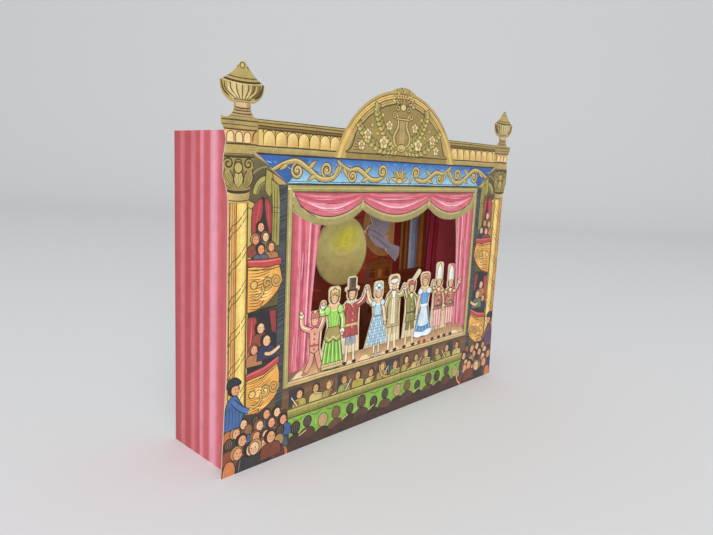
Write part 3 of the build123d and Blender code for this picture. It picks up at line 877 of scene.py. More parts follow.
def coat(picture, x, head_z, shoulder, waist_z, waist, foot_z, colour, shade, light, trim):
    """A coat with shoulders, a waist and skirts, a row of buttons and a collar."""
    sides = [(shoulder - 0.5, head_z - 3.9), (shoulder - 0.2, head_z - 6.4), (waist - 0.6, waist_z),
             (waist + 0.3, foot_z)]
    left = [(x - w, z) for w, z in sides]
    right = [(x + w, z) for w, z in sides[::-1]]
    picture.outlined([(x - 1.0, head_z - 2.4), *left, *right, (x + 1.0, head_z - 2.4)], colour, 0.4, DARK)
    picture.pen([(x - waist * 0.6, head_z - 5), (x - waist * 0.5, foot_z + 0.4)], 0.8, light, 0.3)
    picture.pen([(x + waist * 0.65, head_z - 5), (x + waist * 0.7, foot_z + 0.4)], 1.0, shade, 0.3)
    picture.pen([(x, head_z - 4), (x, foot_z)], 0.3, DARK)
    for i in range(4):
        z = head_z - 5.4 - i * (head_z - 6.4 - foot_z) / 4
        picture.fill(oval(x + 0.7, z, 0.32), trim)
    picture.outlined([(x - 1.7, head_z - 3.0), (x, head_z - 5.2), (x + 1.7, head_z - 3.0), (x, head_z - 2.4)], trim, 0.25, DARK)


def bodice(picture, x, head_z, shoulder, waist_z, waist, colour, light, neck=FLESH):
    sides = [(shoulder - 0.6, head_z - 4.0), (shoulder - 0.5, head_z - 6.0), (waist - 0.4, waist_z - 0.3)]
    left = [(x - w, z) for w, z in sides]
    right = [(x + w, z) for w, z in sides[::-1]]
    picture.outlined([*left, *right], colour, 0.4, DARK)
    picture.fill(oval(x, head_z - 3.6, shoulder * 0.55, 1.7), neck)
    picture.pen(oval(x, head_z - 3.6, shoulder * 0.55, 1.7, 0, 195, 345), 0.45, light, 1.0)
    for side in (-1, 1):
        picture.pen([(x + side * shoulder * 0.5, head_z - 5.4), (x + side * waist * 0.35, waist_z + 0.4)], 0.3, DARK, 0.4)
        picture.pen([(x + side * shoulder * 0.28, head_z - 6.0), (x + side * waist * 0.2, waist_z + 0.4)], 0.4, light, 0.4)


print("an arm's hand is", 0.95 * 2, "mm across")


# %% The cast, from left to right
BOARDS_Z = 30.0


def raised(*points):
    """Points given as heights above the boards."""
    return [(x, z + BOARDS_Z) for x, z in points]


def acrobat(picture):
    x, head = -47.0, BOARDS_Z + 22.6
    for hip, knee, foot in (((-48.0, 11.5), (-48.6, 6.0), (-51.6, 1.2)), ((-46.0, 11.5), (-44.6, 6.2), (-42.8, 1.2))):
        picture.pen(bend(raised(hip, knee, foot)), 3.0, DARK, 0.9)
        picture.pen(bend(raised(hip, knee, foot)), 2.3, "#d99c82", 0.9)
        picture.outlined(oval(foot[0] - 0.4, foot[1] + BOARDS_Z, 1.3, 0.6), "#c9876c", 0.25, DARK)
    body = raised((-50.0, 18.6), (-49.4, 14.6), (-49.4, 10.2), (-47.0, 8.8), (-44.6, 10.2), (-44.6, 14.6), (-44.0, 18.6), (-47, 20))
    picture.outlined(body, "#dca188", 0.4, DARK)
    picture.pen(raised((-48.2, 17.6), (-48.4, 11)), 0.8, "#eebfa4", 0.3)
    for i in range(4):
        picture.fill(oval(x, BOARDS_Z + 17 - 2.1 * i, 0.5), "#a6453f")
    picture.pen(raised((-49.2, 12.4), (-44.8, 12.2)), 0.9, "#b8564c", 1.0)
    limb(picture, raised((-49.2, 18.8), (-53.4, 21.0), (-54.2, 26.6)), 2.0, "#dca188", "#f0e2c4")
    limb(picture, raised((-44.4, 18.4), (-42.4, 22.4), (-42.6, 28.0)), 2.0, "#dca188", "#f0e2c4")
    face(picture, x, head, 2.1)
    picture.outlined([(x - 2.3, head + 0.9), (x - 2.0, head + 3.2), (x, head + 4.2), (x + 2.0, head + 3.2), (x + 2.3, head + 0.9)],
                     "#c4756a", 0.35, DARK)
    picture.fill(oval(x, head + 3.9, 0.75), "#e9d39a")


def singer(picture):
    x, head = -36.6, BOARDS_Z + 30.4
    skirt(picture, x, BOARDS_Z + 18.8, 2.8, 30.6, 6.4, "#8fca52", "#5f9a34", "#c4ef8c", 9)
    picture.outlined([*raised((-43.0, 3.0)), (-30.2, 33.0), (-30.6, 30.6), (-42.6, 30.6)], "#d5c28c", 0.3, DARK)
    for i in range(9):
        picture.pen(oval(x - 5.4 + 1.35 * i, 32.6, 0.7, 1.0, 0, 180, 360), 0.25, "#7c6a3c")
    overskirt = bend(raised((-39.4, 18.8), (-41.4, 13.8), (-38.8, 11.8), (-36.6, 13.0), (-34.4, 11.8), (-31.8, 13.8), (-33.8, 18.8)))
    picture.outlined(overskirt, "#a8995a", 0.4, DARK)
    picture.pen(bend(raised((-40.6, 14.6), (-38.6, 13.0), (-36.6, 14.2), (-34.6, 13.0), (-32.6, 14.6))), 0.6, "#d9cc8c", 0.5)
    bodice(picture, x, head, 4.2, BOARDS_Z + 18.6, 3.0, "#93cf56", "#c9f29a")
    limb(picture, raised((-40.0, 25.4), (-43.6, 25.0), (-42.6, 28.8)), 2.3, "#93cf56", "#efe6c8")
    limb(picture, raised((-33.4, 25.4), (-31.2, 20.6), (-31.6, 14.6)), 2.3, "#93cf56", "#efe6c8")
    for side in (-1, 1):
        picture.outlined(oval(x + side * 3.6, head - 4.8, 1.7, 1.9), "#a8dc68", 0.3, DARK)
        picture.pen(oval(x + side * 3.6, head - 4.8, 0.9, 1.1, 0, 60, 200), 0.3, "#d2f4a4")
    face(picture, x, head, 2.2, hair="#a8894c")
    picture.outlined(bend([(x - 2.6, head + 0.6), (x - 2.5, head + 3.0), (x - 1.2, head + 3.4), (x, head + 4.4), (x + 1.2, head + 3.4),
                           (x + 2.5, head + 3.0), (x + 2.6, head + 0.6), (x, head + 1.5)]), "#bd9c56", 0.35, DARK)
    for side in (-1, 0, 1):
        picture.fill(oval(x + 1.2 * side, head + 3.0, 0.4), "#f3e9c8")


def gentleman(picture):
    x, head = -26.4, BOARDS_Z + 30.8
    legs(picture, x, BOARDS_Z + 14.5, "#9aa3b4", "#e9d9bc")
    coat(picture, x, head, 4.4, BOARDS_Z + 17.0, 4.4, BOARDS_Z + 12.6, "#ab4a4c", "#7f3236", "#cf7470", "#e3cf98")
    picture.pen(raised((-30.2, 17.6), (-22.6, 17.6)), 0.9, "#d8bf7c", 1.0)
    limb(picture, raised((-30.0, 25.8), (-31.6, 21.0), (-31.6, 14.6)), 2.3, "#ab4a4c", "#efe6cc")
    limb(picture, raised((-22.8, 25.8), (-19.4, 27.6), (-17.2, 32.4)), 2.3, "#ab4a4c", "#efe6cc")
    for i in range(5):
        picture.outlined(oval(x - 2.2 + 1.1 * i, head - 2.9 - 0.3 * (i % 2), 0.8), "#f2e8cc", 0.2, DARK)
    face(picture, x, head, 2.2, hair="#5c4028")
    picture.pen([(x - 0.9, head - 0.9), (x + 0.9, head - 0.9)], 0.35, "#4a3220", 0.3)
    picture.outlined(bar(x - 1.9, x + 1.9, head + 1.8, head + 7.0), "#4b4338", 0.35, DARK)
    picture.pen([(x - 1.2, head + 2.6), (x - 1.2, head + 6.6)], 0.5, "#8b8070", 0.6)
    picture.pen([(x - 1.9, head + 2.7), (x + 1.9, head + 2.7)], 0.7, "#8f3c3a", 1.0)
    picture.pen([(x - 3.2, head + 1.8), (x + 3.2, head + 1.8)], 0.9, "#3c352c", 1.0)


def dancer(picture):
    x, head = -9.6, BOARDS_Z + 29.4
    for side in (-1, 1):
        picture.pen([(x + side * 1.5, 37.0), (x + side * 1.6, 31.6)], 1.6, DARK, 1.0)
        picture.pen([(x + side * 1.5, 37.0), (x + side * 1.6, 31.8)], 1.0, "#eadcc0", 1.0)
        picture.outlined(oval(x + side * 2.1, 31.0, 1.1, 0.6), "#b8ccd8", 0.25, DARK)
    rows = ((36.6, 7.0), (39.4, 6.2), (42.2, 5.4), (45.0, 4.4), (47.6, 3.2))
    for z, half in rows:
        picture.outlined([(x - half * 0.82, z + 3.0), (x - half, z), (x + half, z), (x + half * 0.82, z + 3.0)], "#a9cbdc", 0.3, DARK)
        count = max(4, round(half * 1.3))
        for i in range(count):
            u = x - half + 2 * half * (i + 0.5) / count
            picture.outlined(oval(u, z + 0.3, half / count * 1.05, 1.0), ("#c6dfea", "#9fc2d8")[i % 2], 0.22, "#46606e")
            picture.pen([(u, z + 1.2), (u * 0.9 + x * 0.1, z + 2.8)], 0.25, "#f2fafc", 0.3)
    bodice(picture, x, head, 3.4, BOARDS_Z + 19.4, 2.6, "#a9cbdc", "#e6f4fa")
    limb(picture, raised((-12.2, 24.6), (-15.4, 26.8), (-17.2, 32.4)), 1.7, FLESH)
    limb(picture, raised((-7.0, 24.6), (-5.4, 20.4), (-4.4, 14.8)), 1.7, FLESH)
    for side in (-1, 1):
        picture.outlined(oval(x + side * 2.9, head - 4.6, 1.5, 1.4), "#c9e0ea", 0.3, DARK)
    face(picture, x, head, 2.1, hair="#c3d9e6")
    for i in range(5):
        angle = math.radians(36 * i + 18)
        picture.outlined(oval(x + 1.8 * math.cos(angle), head + 1.9 + 1.5 * math.sin(angle), 1.0), ("#d6e8f0", "#b4d0e0")[i % 2], 0.22,
                         "#46606e")
    picture.outlined(oval(x, head + 3.5, 1.1, 0.9), "#e4f1f6", 0.22, "#46606e")


def courtier(picture):
    x, head = 0.8, BOARDS_Z + 31.8
    legs(picture, x, BOARDS_Z + 14.5, "#d8c79a", "#efe3c8", 2.2)
    coat(picture, x, head, 4.2, BOARDS_Z + 17.4, 4.2, BOARDS_Z + 12.2, "#b9a873", "#8a7a4c", "#ddcf9e", "#f1e8cc")
    picture.outlined([(x - 1.3, head - 4.6), (x + 1.3, head - 4.6), (x + 1.6, BOARDS_Z + 13.6), (x - 1.6, BOARDS_Z + 13.6)], "#e6dbb8",
                     0.25, DARK)
    picture.pen([(x, head - 5), (x, BOARDS_Z + 14)], 0.25, "#7c6a42")
    limb(picture, raised((-2.6, 26.6), (-4.6, 21.6), (-4.4, 14.8)), 2.2, "#b9a873", "#f2e8cc")
    limb(picture, raised((4.2, 26.6), (6.6, 27.2), (8.4, 30.6)), 2.2, "#b9a873", "#f2e8cc")
    picture.outlined([(x - 1.5, head - 2.6), (x + 1.5, head - 2.6), (x + 0.9, head - 6.0), (x - 0.9, head - 6.0)], "#f4efe0", 0.25, DARK)
    face(picture, x, head, 2.2, hair="#e6dfcc")
    for side in (-1, 1):
        for i in range(3):
            picture.outlined(oval(x + side * 2.5, head + 1.6 - 1.4 * i, 0.95, 0.85), "#ece6d6", 0.22, "#6c6456")
    picture.outlined(oval(x, head + 2.3, 2.6, 1.6), "#efe9da", 0.3, "#6c6456")
    picture.pen(oval(x, head + 2.2, 1.6, 0.8, 0, 20, 160), 0.25, "#9a9282")
    picture.outlined([(x - 2.6, head + 2.6), (x - 1.0, head + 4.0), (x + 1.4, head + 4.0), (x + 2.7, head + 2.8), (x, head + 3.1)],
                     "#b06a58", 0.3, DARK)


def page(picture):
    x, head = 13.6, BOARDS_Z + 29.0
    legs(picture, x, BOARDS_Z + 14.5, "#7e7a46", "#e6cfb0", 2.8)
    coat(picture, x, head, 3.6, BOARDS_Z + 17.4, 3.6, BOARDS_Z + 12.8, "#8f8a50", "#6a6638", "#b6b070", "#e6d8a6")
    picture.pen(raised((10.6, 17.2), (16.6, 17.2)), 0.8, "#5c4a2a", 1.0)
    limb(picture, raised((10.8, 24.2), (9.8, 26.6), (8.4, 30.6)), 2.0, "#8f8a50", "#ecdfbc")
    limb(picture, raised((16.4, 24.2), (18.0, 19.6), (18.2, 13.8)), 2.0, "#8f8a50", "#ecdfbc")
    face(picture, x, head, 2.0, hair="#7c5a34")
    picture.outlined(bend([(x - 2.7, head + 1.3), (x - 2.4, head + 3.0), (x, head + 3.6), (x + 2.4, head + 3.0), (x + 2.7, head + 1.3),
                           (x, head + 1.7)]), "#b8625a", 0.35, DARK)
    picture.pen(bend([(x + 1.0, head + 2.8), (x + 2.6, head + 4.6), (x + 4.6, head + 6.6)]), 1.1, DARK, 0.3)
    picture.pen(bend([(x + 1.0, head + 2.8), (x + 2.6, head + 4.6), (x + 4.6, head + 6.6)]), 0.7, "#f0e8d4", 0.3)


def sash_lady(picture):
    x, head = 23.8, BOARDS_Z + 31.0
    for side in (-1, 1):
        picture.pen([(x + side * 1.6, 36), (x + side * 1.8, 31.2)], 1.7, "#c2776c", 1.0)
        picture.outlined(oval(x + side * 2.2, 30.9, 1.2, 0.6), "#8c4640", 0.25, DARK)
    skirt(picture, x, BOARDS_Z + 19.6, 2.6, 34.0, 6.6, "#5f9fd8", "#3f78b8", "#9ccbf0", 9)
    picture.outlined(bend([(x - 6.2, 37.2), (x - 6.8, 34.6), (x - 3.4, 33.4), (x, 33.8), (x + 3.4, 33.4), (x + 6.8, 34.6), (x + 6.2, 37.2),
                           (x, 36.0)]), "#e4f0f6", 0.3, DARK)
    apron = bend([(x - 2.0, BOARDS_Z + 19.2), (x - 3.6, BOARDS_Z + 13.6), (x - 4.0, BOARDS_Z + 9.6), (x, BOARDS_Z + 8.6),
                  (x + 4.0, BOARDS_Z + 9.6), (x + 3.6, BOARDS_Z + 13.6), (x + 2.0, BOARDS_Z + 19.2)])
    picture.outlined(apron, "#d7e6ee", 0.35, DARK)
    for t in (-0.5, 0.0, 0.5):
        picture.pen([(x + 1.6 * t, BOARDS_Z + 18.6), (x + 5.4 * t, BOARDS_Z + 10)], 0.3, "#8db4cc", 0.4)
    bodice(picture, x, head, 3.8, BOARDS_Z + 19.8, 2.8, "#5f9fd8", "#a8d2f2")
    limb(picture, raised((20.8, 26.2), (19.0, 20.6), (18.2, 13.8)), 1.8, FLESH)
    limb(picture, raised((26.8, 26.2), (29.6, 26.4), (30.4, 29.8)), 1.8, FLESH)
    for side in (-1, 1):
        picture.outlined(oval(x + side * 3.3, head - 4.7, 1.8, 1.6), "#dcebf2", 0.3, DARK)
    picture.pen([(x - 2.7, BOARDS_Z + 19.4), (x + 2.7, BOARDS_Z + 19.4)], 1.0, "#f4f4ec", 1.0)
    face(picture, x, head, 2.2, hair="#c79c58")
    picture.outlined(bend([(x - 3.0, head + 0.9), (x - 2.6, head + 3.2), (x, head + 4.0), (x + 2.6, head + 3.2), (x + 3.0, head + 0.9),
                           (x, head + 1.7)]), "#dba68a", 0.35, DARK)
    picture.pen(oval(x, head + 1.6, 2.4, 0.9, 0, 20, 160), 0.6, "#c05c58")


def bandsman(picture, x, head_height, shoulder, hat_height, arms):
    head = BOARDS_Z + head_height
    legs(picture, x, BOARDS_Z + 13.0, "#d98e86", "#c9a27e", 2.2)
    left, right = x - 4.0, x + 4.0
    picture.outlined([(left, 46.0), (right, 46.0), (right - 0.2, 37.0), (left + 0.2, 37.0)], "#eccfc0", 0.35, DARK)
    for i in range(4):
        picture.pen([(left + 1.1 + 2.0 * i, 45.6), (left + 1.2 + 1.9 * i, 37.3)], 0.9, "#c6625e", 0.9)
    coat(picture, x, head, shoulder, BOARDS_Z + 17.0, shoulder, BOARDS_Z + 15.6, "#b5655c", "#8a453f", "#d99a88", "#ead9a4")
    picture.pen([(x - shoulder + 0.6, head - 5.2), (x + shoulder - 0.8, BOARDS_Z + 17.6)], 0.9, "#6c6a48", 1.0)
    picture.pen([(x - shoulder + 0.8, BOARDS_Z + 17.4), (x + shoulder - 0.8, BOARDS_Z + 17.4)], 1.0, "#5c5a3e", 1.0)
    for i in range(3):
        z = head - 5.6 - 2.4 * i
        picture.pen([(x - 1.8, z), (x + 1.8, z)], 0.35, "#ecd79c", 0.6)
    for arm in arms:
        limb(picture, raised(*arm), 2.2, "#b5655c", "#e9dcb4")
    for side in (-1, 1):
        picture.outlined(oval(x + side * (shoulder - 0.8), head - 4.4, 1.4, 0.9), "#dcc27e", 0.25, DARK)
    face(picture, x, head, 2.1, hair="#6a4a30")
    tall = [(x - 2.1, head + 1.2), (x - 1.9, head + 2.4 + hat_height * 0.45), (x - 1.0, head + 1.4 + hat_height * 0.85), (x, head + 1.3 + hat_height),
            (x + 1.0, head + 1.4 + hat_height * 0.85), (x + 1.9, head + 2.4 + hat_height * 0.45), (x + 2.1, head + 1.2)]
    picture.outlined(bend(tall), "#e6e6e0", 0.35, "#4c4a48")
    picture.pen(bend([(x - 1.2, head + 1.8), (x - 1.0, head + hat_height * 0.7), (x - 0.2, head + hat_height)]), 0.6, "#ffffff", 0.3)
    picture.pen([(x + 1.2, head + 2.0), (x + 0.9, head + hat_height * 0.75)], 0.6, "#a9adb2", 0.3)
    picture.pen([(x - 2.3, head + 1.5), (x + 2.3, head + 1.5)], 0.8, "#c4b27c", 1.0)


players_start = len(front.shapes)
acrobat(front)
gentleman(front)
singer(front)
courtier(front)
dancer(front)
page(front)
sash_lady(front)
bandsman(front, 45.0, 28.0, 4.4, 8.0, [((41.8, 23.2), (40.2, 20.0), (40.0, 15.4)), ((48.2, 23.2), (51.0, 24.6), (53.0, 29.0))])
bandsman(front, 35.0, 29.4, 3.8, 8.2, [((32.2, 26.2), (30.8, 26.8), (30.4, 29.8)), ((38.2, 24.6), (39.8, 20.4), (40.0, 15.4))])
print("players drawn:", len(front.shapes) - players_start, "shapes")

# %% [markdown]
# ## The house
# Beside the stage the frame opens on two tiers of boxes under a small vault, each a bowed gilt basket with
# red velvet on its rail. People lean out, a crowd stands below, and a rail runs across in front of the band.

# %% Boxes
def onlooker(picture, x, z, r, dress, hair, skin=PEACH, look=0.4):
    """A head and shoulders."""
    slope = [(x - 2.2 * r, z - 3.6 * r), (x - 1.9 * r, z - 1.5 * r), (x - 0.6 * r, z - 0.9 * r), (x + 0.6 * r, z - 0.9 * r),
             (x + 1.9 * r, z - 1.5 * r), (x + 2.2 * r, z - 3.6 * r)]
    picture.outlined(bend(slope), dress, 0.3, "#33261c")
    picture.pen([(x - 0.5 * r, z - 1.0 * r), (x, z - 1.9 * r), (x + 0.5 * r, z - 1.0 * r)], 0.25, "#33261c")
    face(picture, x, z, r, skin, look, hair)


def basket(picture, top, bottom, tilt, deep):
    """A box's bowed front: hatched gold with a scroll, its right edge bulging towards the stage."""
    left = -79.8
    rim_left, rim_right = (left, top), (-65.6, top + tilt)
    bulge = bend([rim_right, (-64.4, top + tilt - 5), (-65.4, bottom + deep + 1.5), (-69.4, bottom + deep * 0.55), (-74.4, bottom + 0.4),
                  (left, bottom - 0.6)], 4)
    body = [rim_left, *bulge]
    picture.outlined(body, wash("#edb45c", "#dd9446", (-78, top), (-66, bottom)), 0.5)
    for i in range(15):
        t = (i + 0.5) / 15
        z = top - (top - bottom) * t
        reach = (0.92 - 0.45 * t * t) * chance.uniform(0.75, 1.0)
        line = [(left + 0.3, z - 0.8), (left + 5, z - 0.9 + tilt * 0.1), (left + 14.4 * reach, z + tilt * (1 - t) * 0.75 + deep * t * 0.42)]
        picture.pen(bend(line), 0.3, chance.choice((LINE, "#6b4a22", "#8a5a28")), 0.3)
    for i in range(8):
        z = top - (top - bottom) * chance.uniform(0.15, 0.8)
        picture.pen(bend([(left + 4, z), (left + 8, z - 0.4), (left + 11, z + 0.8)]), 0.5, "#f7d489", 0.2)
    # Two scrolls and a rosette.
    for x, z, radius, start, way in ((-71.2, (top + bottom) / 2 + 1.6, 2.5, 200, 1), (-67.0, (top + bottom) / 2 + 2.4, 2.3, 20, -1)):
        picture.pen(volute(x, z, radius + 0.2, start, 1.35, way), 1.5, LINE, 0.5)
        picture.pen(volute(x, z, radius + 0.2, start, 1.35, way), 0.9, "#c9a05a", 0.5)
    stem = bend([(-78.6, (top + bottom) / 2 - 2.6), (-75.4, (top + bottom) / 2 - 3.6), (-73.0, (top + bottom) / 2 - 1.4), (-73.4, (top + bottom) / 2 + 1.4)])
    picture.pen(stem, 1.4, LINE, 0.4)
    picture.pen(stem, 0.8, "#d9b060", 0.4)
    picture.outlined(oval(-77.0, (top + bottom) / 2 + 1.4, 1.5), "#e6bb66", 0.35)
    # The velvet on its rail.
    rail = [(left - 0.1, top + 2.8), (-71.8, top + 2.4 + tilt * 0.42), (-65.0, top + 2.7 + tilt), (-64.8, top + 0.2 + tilt),
            (-71.8, top - 0.6 + tilt * 0.42), (left - 0.1, top + 0.2)]
    picture.outlined(rail, "#b8474a", 0.4)
    picture.pen([(left, top + 2.0), (-71.8, top + 1.6 + tilt * 0.42), (-65.3, top + 2.0 + tilt)], 0.5, "#d67a74", 0.7)
    picture.pen([(left, top - 0.9), (-71.8, top - 1.6 + tilt * 0.42), (-65.0, top - 0.8 + tilt)], 0.35, LINE, 0.8)


def boxes(picture):
    """Vault, pilaster, jamb and two dark openings with curtains."""
    # The wall that runs back beside the frieze.
    picture.fill([(-78.6, 116.6), (-62.6, 106.3), (-62.6, 20), (-80.3, 20), (-80.3, 104)], "#5f5338")
    picture.fill([(-78.4, 116.4), (-70.6, 112.4), (-72.8, 104), (-79.8, 104)], "#6a6046")
    for i in range(15):
        lean = 96 + 5.4 * i
        r0, r1 = 4.2, 9.6
        picture.pen([(-72.2 + r0 * math.cos(math.radians(lean)), 103.4 + r0 * math.sin(math.radians(lean))),
                     (-72.2 + r1 * math.cos(math.radians(lean)), 103.4 + r1 * math.sin(math.radians(lean)))], 0.45, "#2f2a20", 0.6)
    for r, tone, width in ((5.4, "#a8a058", 1.6), (4.0, "#8a8146", 0.6), (9.2, "#8d8050", 0.8)):
        picture.pen(oval(-72.0, 102.6, r, r * 1.06, 0, 92, 178), width, tone, 0.8)
    picture.pen(oval(-72.0, 102.6, 6.3, 6.7, 0, 92, 180), 0.35)
    picture.outlined([(-73.0, 104), (-72.6, 111.6), (-69.8, 110.2), (-69.0, 104.0), (-71.0, 101.6)], "#a3994e", 0.4)
    picture.outlined([(-69.8, 110.4), (-66.4, 108.6), (-63.2, 106.6), (-64.0, 105.4), (-68.6, 106.4), (-69.4, 108)], "#b49a58", 0.4)
    picture.outlined([(-70.2, 108.2), (-66.6, 105.8), (-65.8, 98), (-66.0, 84), (-69.4, 84), (-69.6, 98)], "#9c9450", 0.45)
    for x, width in ((-68.8, 0.3), (-67.6, 0.3)):
        picture.pen(bend([(x, 105.4), (x + 0.2, 95), (x + 0.1, 84)]), width)
    for z in (97.6, 95.8):
        picture.pen([(-70.0, z + 0.6), (-65.4, z)], 0.45)
    picture.outlined(bar(-80.3, -78.4, 20, 99.5), "#b9ac62", 0.35)
    picture.outlined([(-80.6, 101.0), (-76.6, 99.2), (-76.8, 97.0), (-80.4, 98.2)], "#c0a85e", 0.4)
    # Upper opening.
    picture.fill([(-78.4, 78), (-78.4, 98), (-74, 102), (-70, 99), (-69.4, 78)], "#2b2a30")
    for points, tone in (([(-74.4, 101.2), (-78.2, 97.6), (-78.3, 87.4), (-75.2, 92.4), (-73.8, 97)], "#a83f42"),
                         ([(-72.8, 101.2), (-70.2, 98.8), (-69.6, 90.4), (-70.6, 88.6), (-72.4, 95)], "#a83f42")):
        picture.outlined(bend(points, 3, True), tone, 0.35)
    picture.pen([(-75.2, 99.4), (-76.6, 91.2)], 0.5, "#cb6660")
    picture.pen([(-71.6, 98.8), (-70.8, 91.4)], 0.4, "#cb6660")
    # Lower opening.
    picture.fill([(-79.6, 36), (-79.6, 60.5), (-66, 60.5), (-65.6, 40)], "#2d2b31")
    picture.outlined(bend([(-79.6, 58.6), (-75.6, 57.6), (-76.8, 49), (-79.6, 41)], 3), "#a83f42", 0.4)
    picture.pen(bend([(-77.6, 57.4), (-78.0, 50), (-79.2, 44)]), 0.6, "#cb6660")
    picture.outlined([(-69.8, 60), (-66.8, 60), (-66.6, 51), (-68.6, 52)], "#9c3a3e", 0.35)
    picture.pen([(-79.6, 60.4), (-65.8, 61.4)], 0.8, "#2b2520", 1.0)


def box_people(picture, swap):
    """Seven people in the two boxes, with other hair and dress on each side of the house."""
    shades = ("#3c3a56", "#8c4a3c", "#6e7a54", "#b07a50", "#5a6474")
    hairs = ("#3c2a1e", "#7a4f2c", "#b08a4e", "#2e2622", "#8e5a34")
    spots = ((-74.4, 91.0, 1.6), (-76.6, 86.6, 1.7), (-72.2, 87.4, 1.6), (-69.6, 83.6, 1.6), (-74.2, 83.0, 1.7))
    for i, (x, z, r) in enumerate(spots):
        onlooker(picture, x, z, r, shades[(i + swap) % 5], hairs[(2 * i + swap) % 5], (PEACH, "#d98f66", FLESH)[(i + swap) % 3], 0.6)
    spots = ((-73.6, 53.8, 1.9), (-76.4, 46.0, 1.7), (-70.8, 48.6, 2.0))
    for i, (x, z, r) in enumerate(spots):
        onlooker(picture, x, z, r, shades[(2 * i + 1 + swap) % 5], hairs[(i + 3 + swap) % 5], (FLESH, PEACH)[i % 2], 0.8)
    arm = [(-71.6, 43.8), (-68.6, 43.4), (-64.6, 45.4)]
    picture.pen(bend(arm), 2.0, "#33261c", 0.7)
    picture.pen(bend(arm), 1.4, FLESH, 0.7)


def both_sides(draw, *swaps):
    """Draws on the left, and on the right with the other choice, mirrored."""
    first = len(front.shapes)
    draw(front, swaps[0])
    middle = len(front.shapes)
    draw(front, swaps[1])
    front.mirrored(middle)
    del front.shapes[middle:middle + (len(front.shapes) - middle) // 2]
    print("both sides:", len(front.shapes) - first, "shapes")


def fronts_of_boxes(picture, swap):
    box_people(picture, swap)
    basket(picture, 77.0, 60.8, 0.0, 6.0)
    basket(picture, 34.6, 20.6, 4.4, 5.0)


def columns(picture, swap):
    column(picture)
    capital(picture)


both_sides(lambda picture, swap: boxes(picture), 0, 0)
stage_frame(front)
both_sides(fronts_of_boxes, 0, 2)
both_sides(columns, 0, 0)

# %% [markdown]
# ## The crowd and the pit
# Below the stage lip the band plays in a brown pit, a gilt rail crosses in front of it, and the stalls'
# green benches show between the heads. The two corners are full of people standing.

# %% Pit and stalls
def back_of_head(picture, x, z, r, hair, coat_colour):
    """Someone seen from behind: a round head of hair over dark shoulders."""
    slope = [(x - 2.0 * r, z - 3.8 * r), (x - 1.8 * r, z - 2.0 * r), (x - 0.6 * r, z - 1.2 * r), (x + 0.6 * r, z - 1.2 * r),
             (x + 1.8 * r, z - 2.0 * r), (x + 2.0 * r, z - 3.8 * r)]
    picture.outlined(bend(slope), coat_colour, 0.3, "#2b2320")
    picture.outlined(oval(x, z, r, 1.1 * r), hair, 0.3, "#2b2320")
    for i in range(4):
        u = (i - 1.5) * 0.4 * r
        picture.pen(bend([(x + u * 0.4, z + 0.9 * r), (x + u, z + 0.1 * r), (x + u * 0.8, z - 0.8 * r)]), 0.2, "#8a735a", 0.3)


def pit(picture):
    picture.fill(bar(-62.8, 62.8, -1, 27.6), "#6e5338")
    picture.fill(bar(-62.8, 62.8, 23.5, 27.4), wash("#5c4433", "#846146", (0, 27.4), (0, 23.5)))
    for x0, x1 in ((-59.5, -53), (-33, -30), (-8, 8), (28, 33), (46, 51)):
        picture.fill(bar(x0, x1, 19, 26.6), "#3d3a3c")
    for i in range(60):
        x, z = chance.uniform(-60, 60), chance.uniform(18.8, 26.8)
        picture.pen([(x, z), (x + chance.uniform(1, 3), z + chance.uniform(-0.5, 0.5))], 0.22, chance.choice(("#3f2f22", "#9a7a52")), 0.3)
    shirts, hairs = ("#b3a24e", "#c9b672", "#a9925a", "#98a05c"), ("#3a2a20", "#7c5830", "#a8874e", "#4c3a2c")
    for i in range(14):
        x = -54.4 + 8.35 * i + chance.uniform(-0.8, 0.8)
        z = 23.4 + chance.uniform(-0.5, 0.7)
        onlooker(picture, x, z, 1.75, shirts[i % 4], hairs[(i * 3) % 4], ("#dcae74", "#cf9c64")[i % 2], chance.choice((-0.6, 0.6)))
        kind, way = i % 3, chance.choice((-1, 1))
        if kind == 0:      # a fiddle and its bow
            picture.outlined(oval(x + 1.8 * way, z - 3.4, 1.6, 0.9, 25 * way), "#a8622e", 0.28)
            picture.pen([(x + 0.6 * way, z - 5.4), (x + 4.2 * way, z - 0.4)], 0.75, "#33261c", 0.8)
            picture.pen([(x + 0.6 * way, z - 5.4), (x + 4.2 * way, z - 0.4)], 0.42, "#f4ecd8", 0.8)
        elif kind == 1:    # a flute
            picture.pen([(x - 0.8 * way, z - 1.6), (x + 3.6 * way, z - 2.8)], 0.8, "#33261c", 0.9)
            picture.pen([(x - 0.8 * way, z - 1.6), (x + 3.6 * way, z - 2.8)], 0.45, "#d8c88c", 0.9)
        else:              # a bass fiddle with its long neck
            picture.outlined(oval(x + 2.2 * way, z - 5.0, 2.0, 2.8, -14 * way), "#8e5428", 0.3)
            picture.pen([(x + 2.4 * way, z - 4.0), (x + 3.6 * way, z + 1.6)], 0.7, "#4a3020", 0.8)
            picture.pen([(x + 0.2 * way, z - 5.4), (x + 4.6 * way, z - 4.2)], 0.4, "#f4ecd8", 0.8)
    # A harp in the middle of the band.
    picture.pen(bend([(-6.6, 25.6), (-5.2, 21.0), (-1.0, 18.6), (4.0, 18.9), (7.6, 21.4)]), 1.9, LINE, 0.5)
    picture.pen(bend([(-6.6, 25.6), (-5.2, 21.0), (-1.0, 18.6), (4.0, 18.9), (7.6, 21.4)]), 1.2, "#b89a50", 0.5)
    for i in range(7):
        picture.pen([(-5.4 + 1.7 * i, 25.0 - 0.4 * i), (-4.6 + 1.7 * i, 19.8)], 0.2, "#e4d8a4")


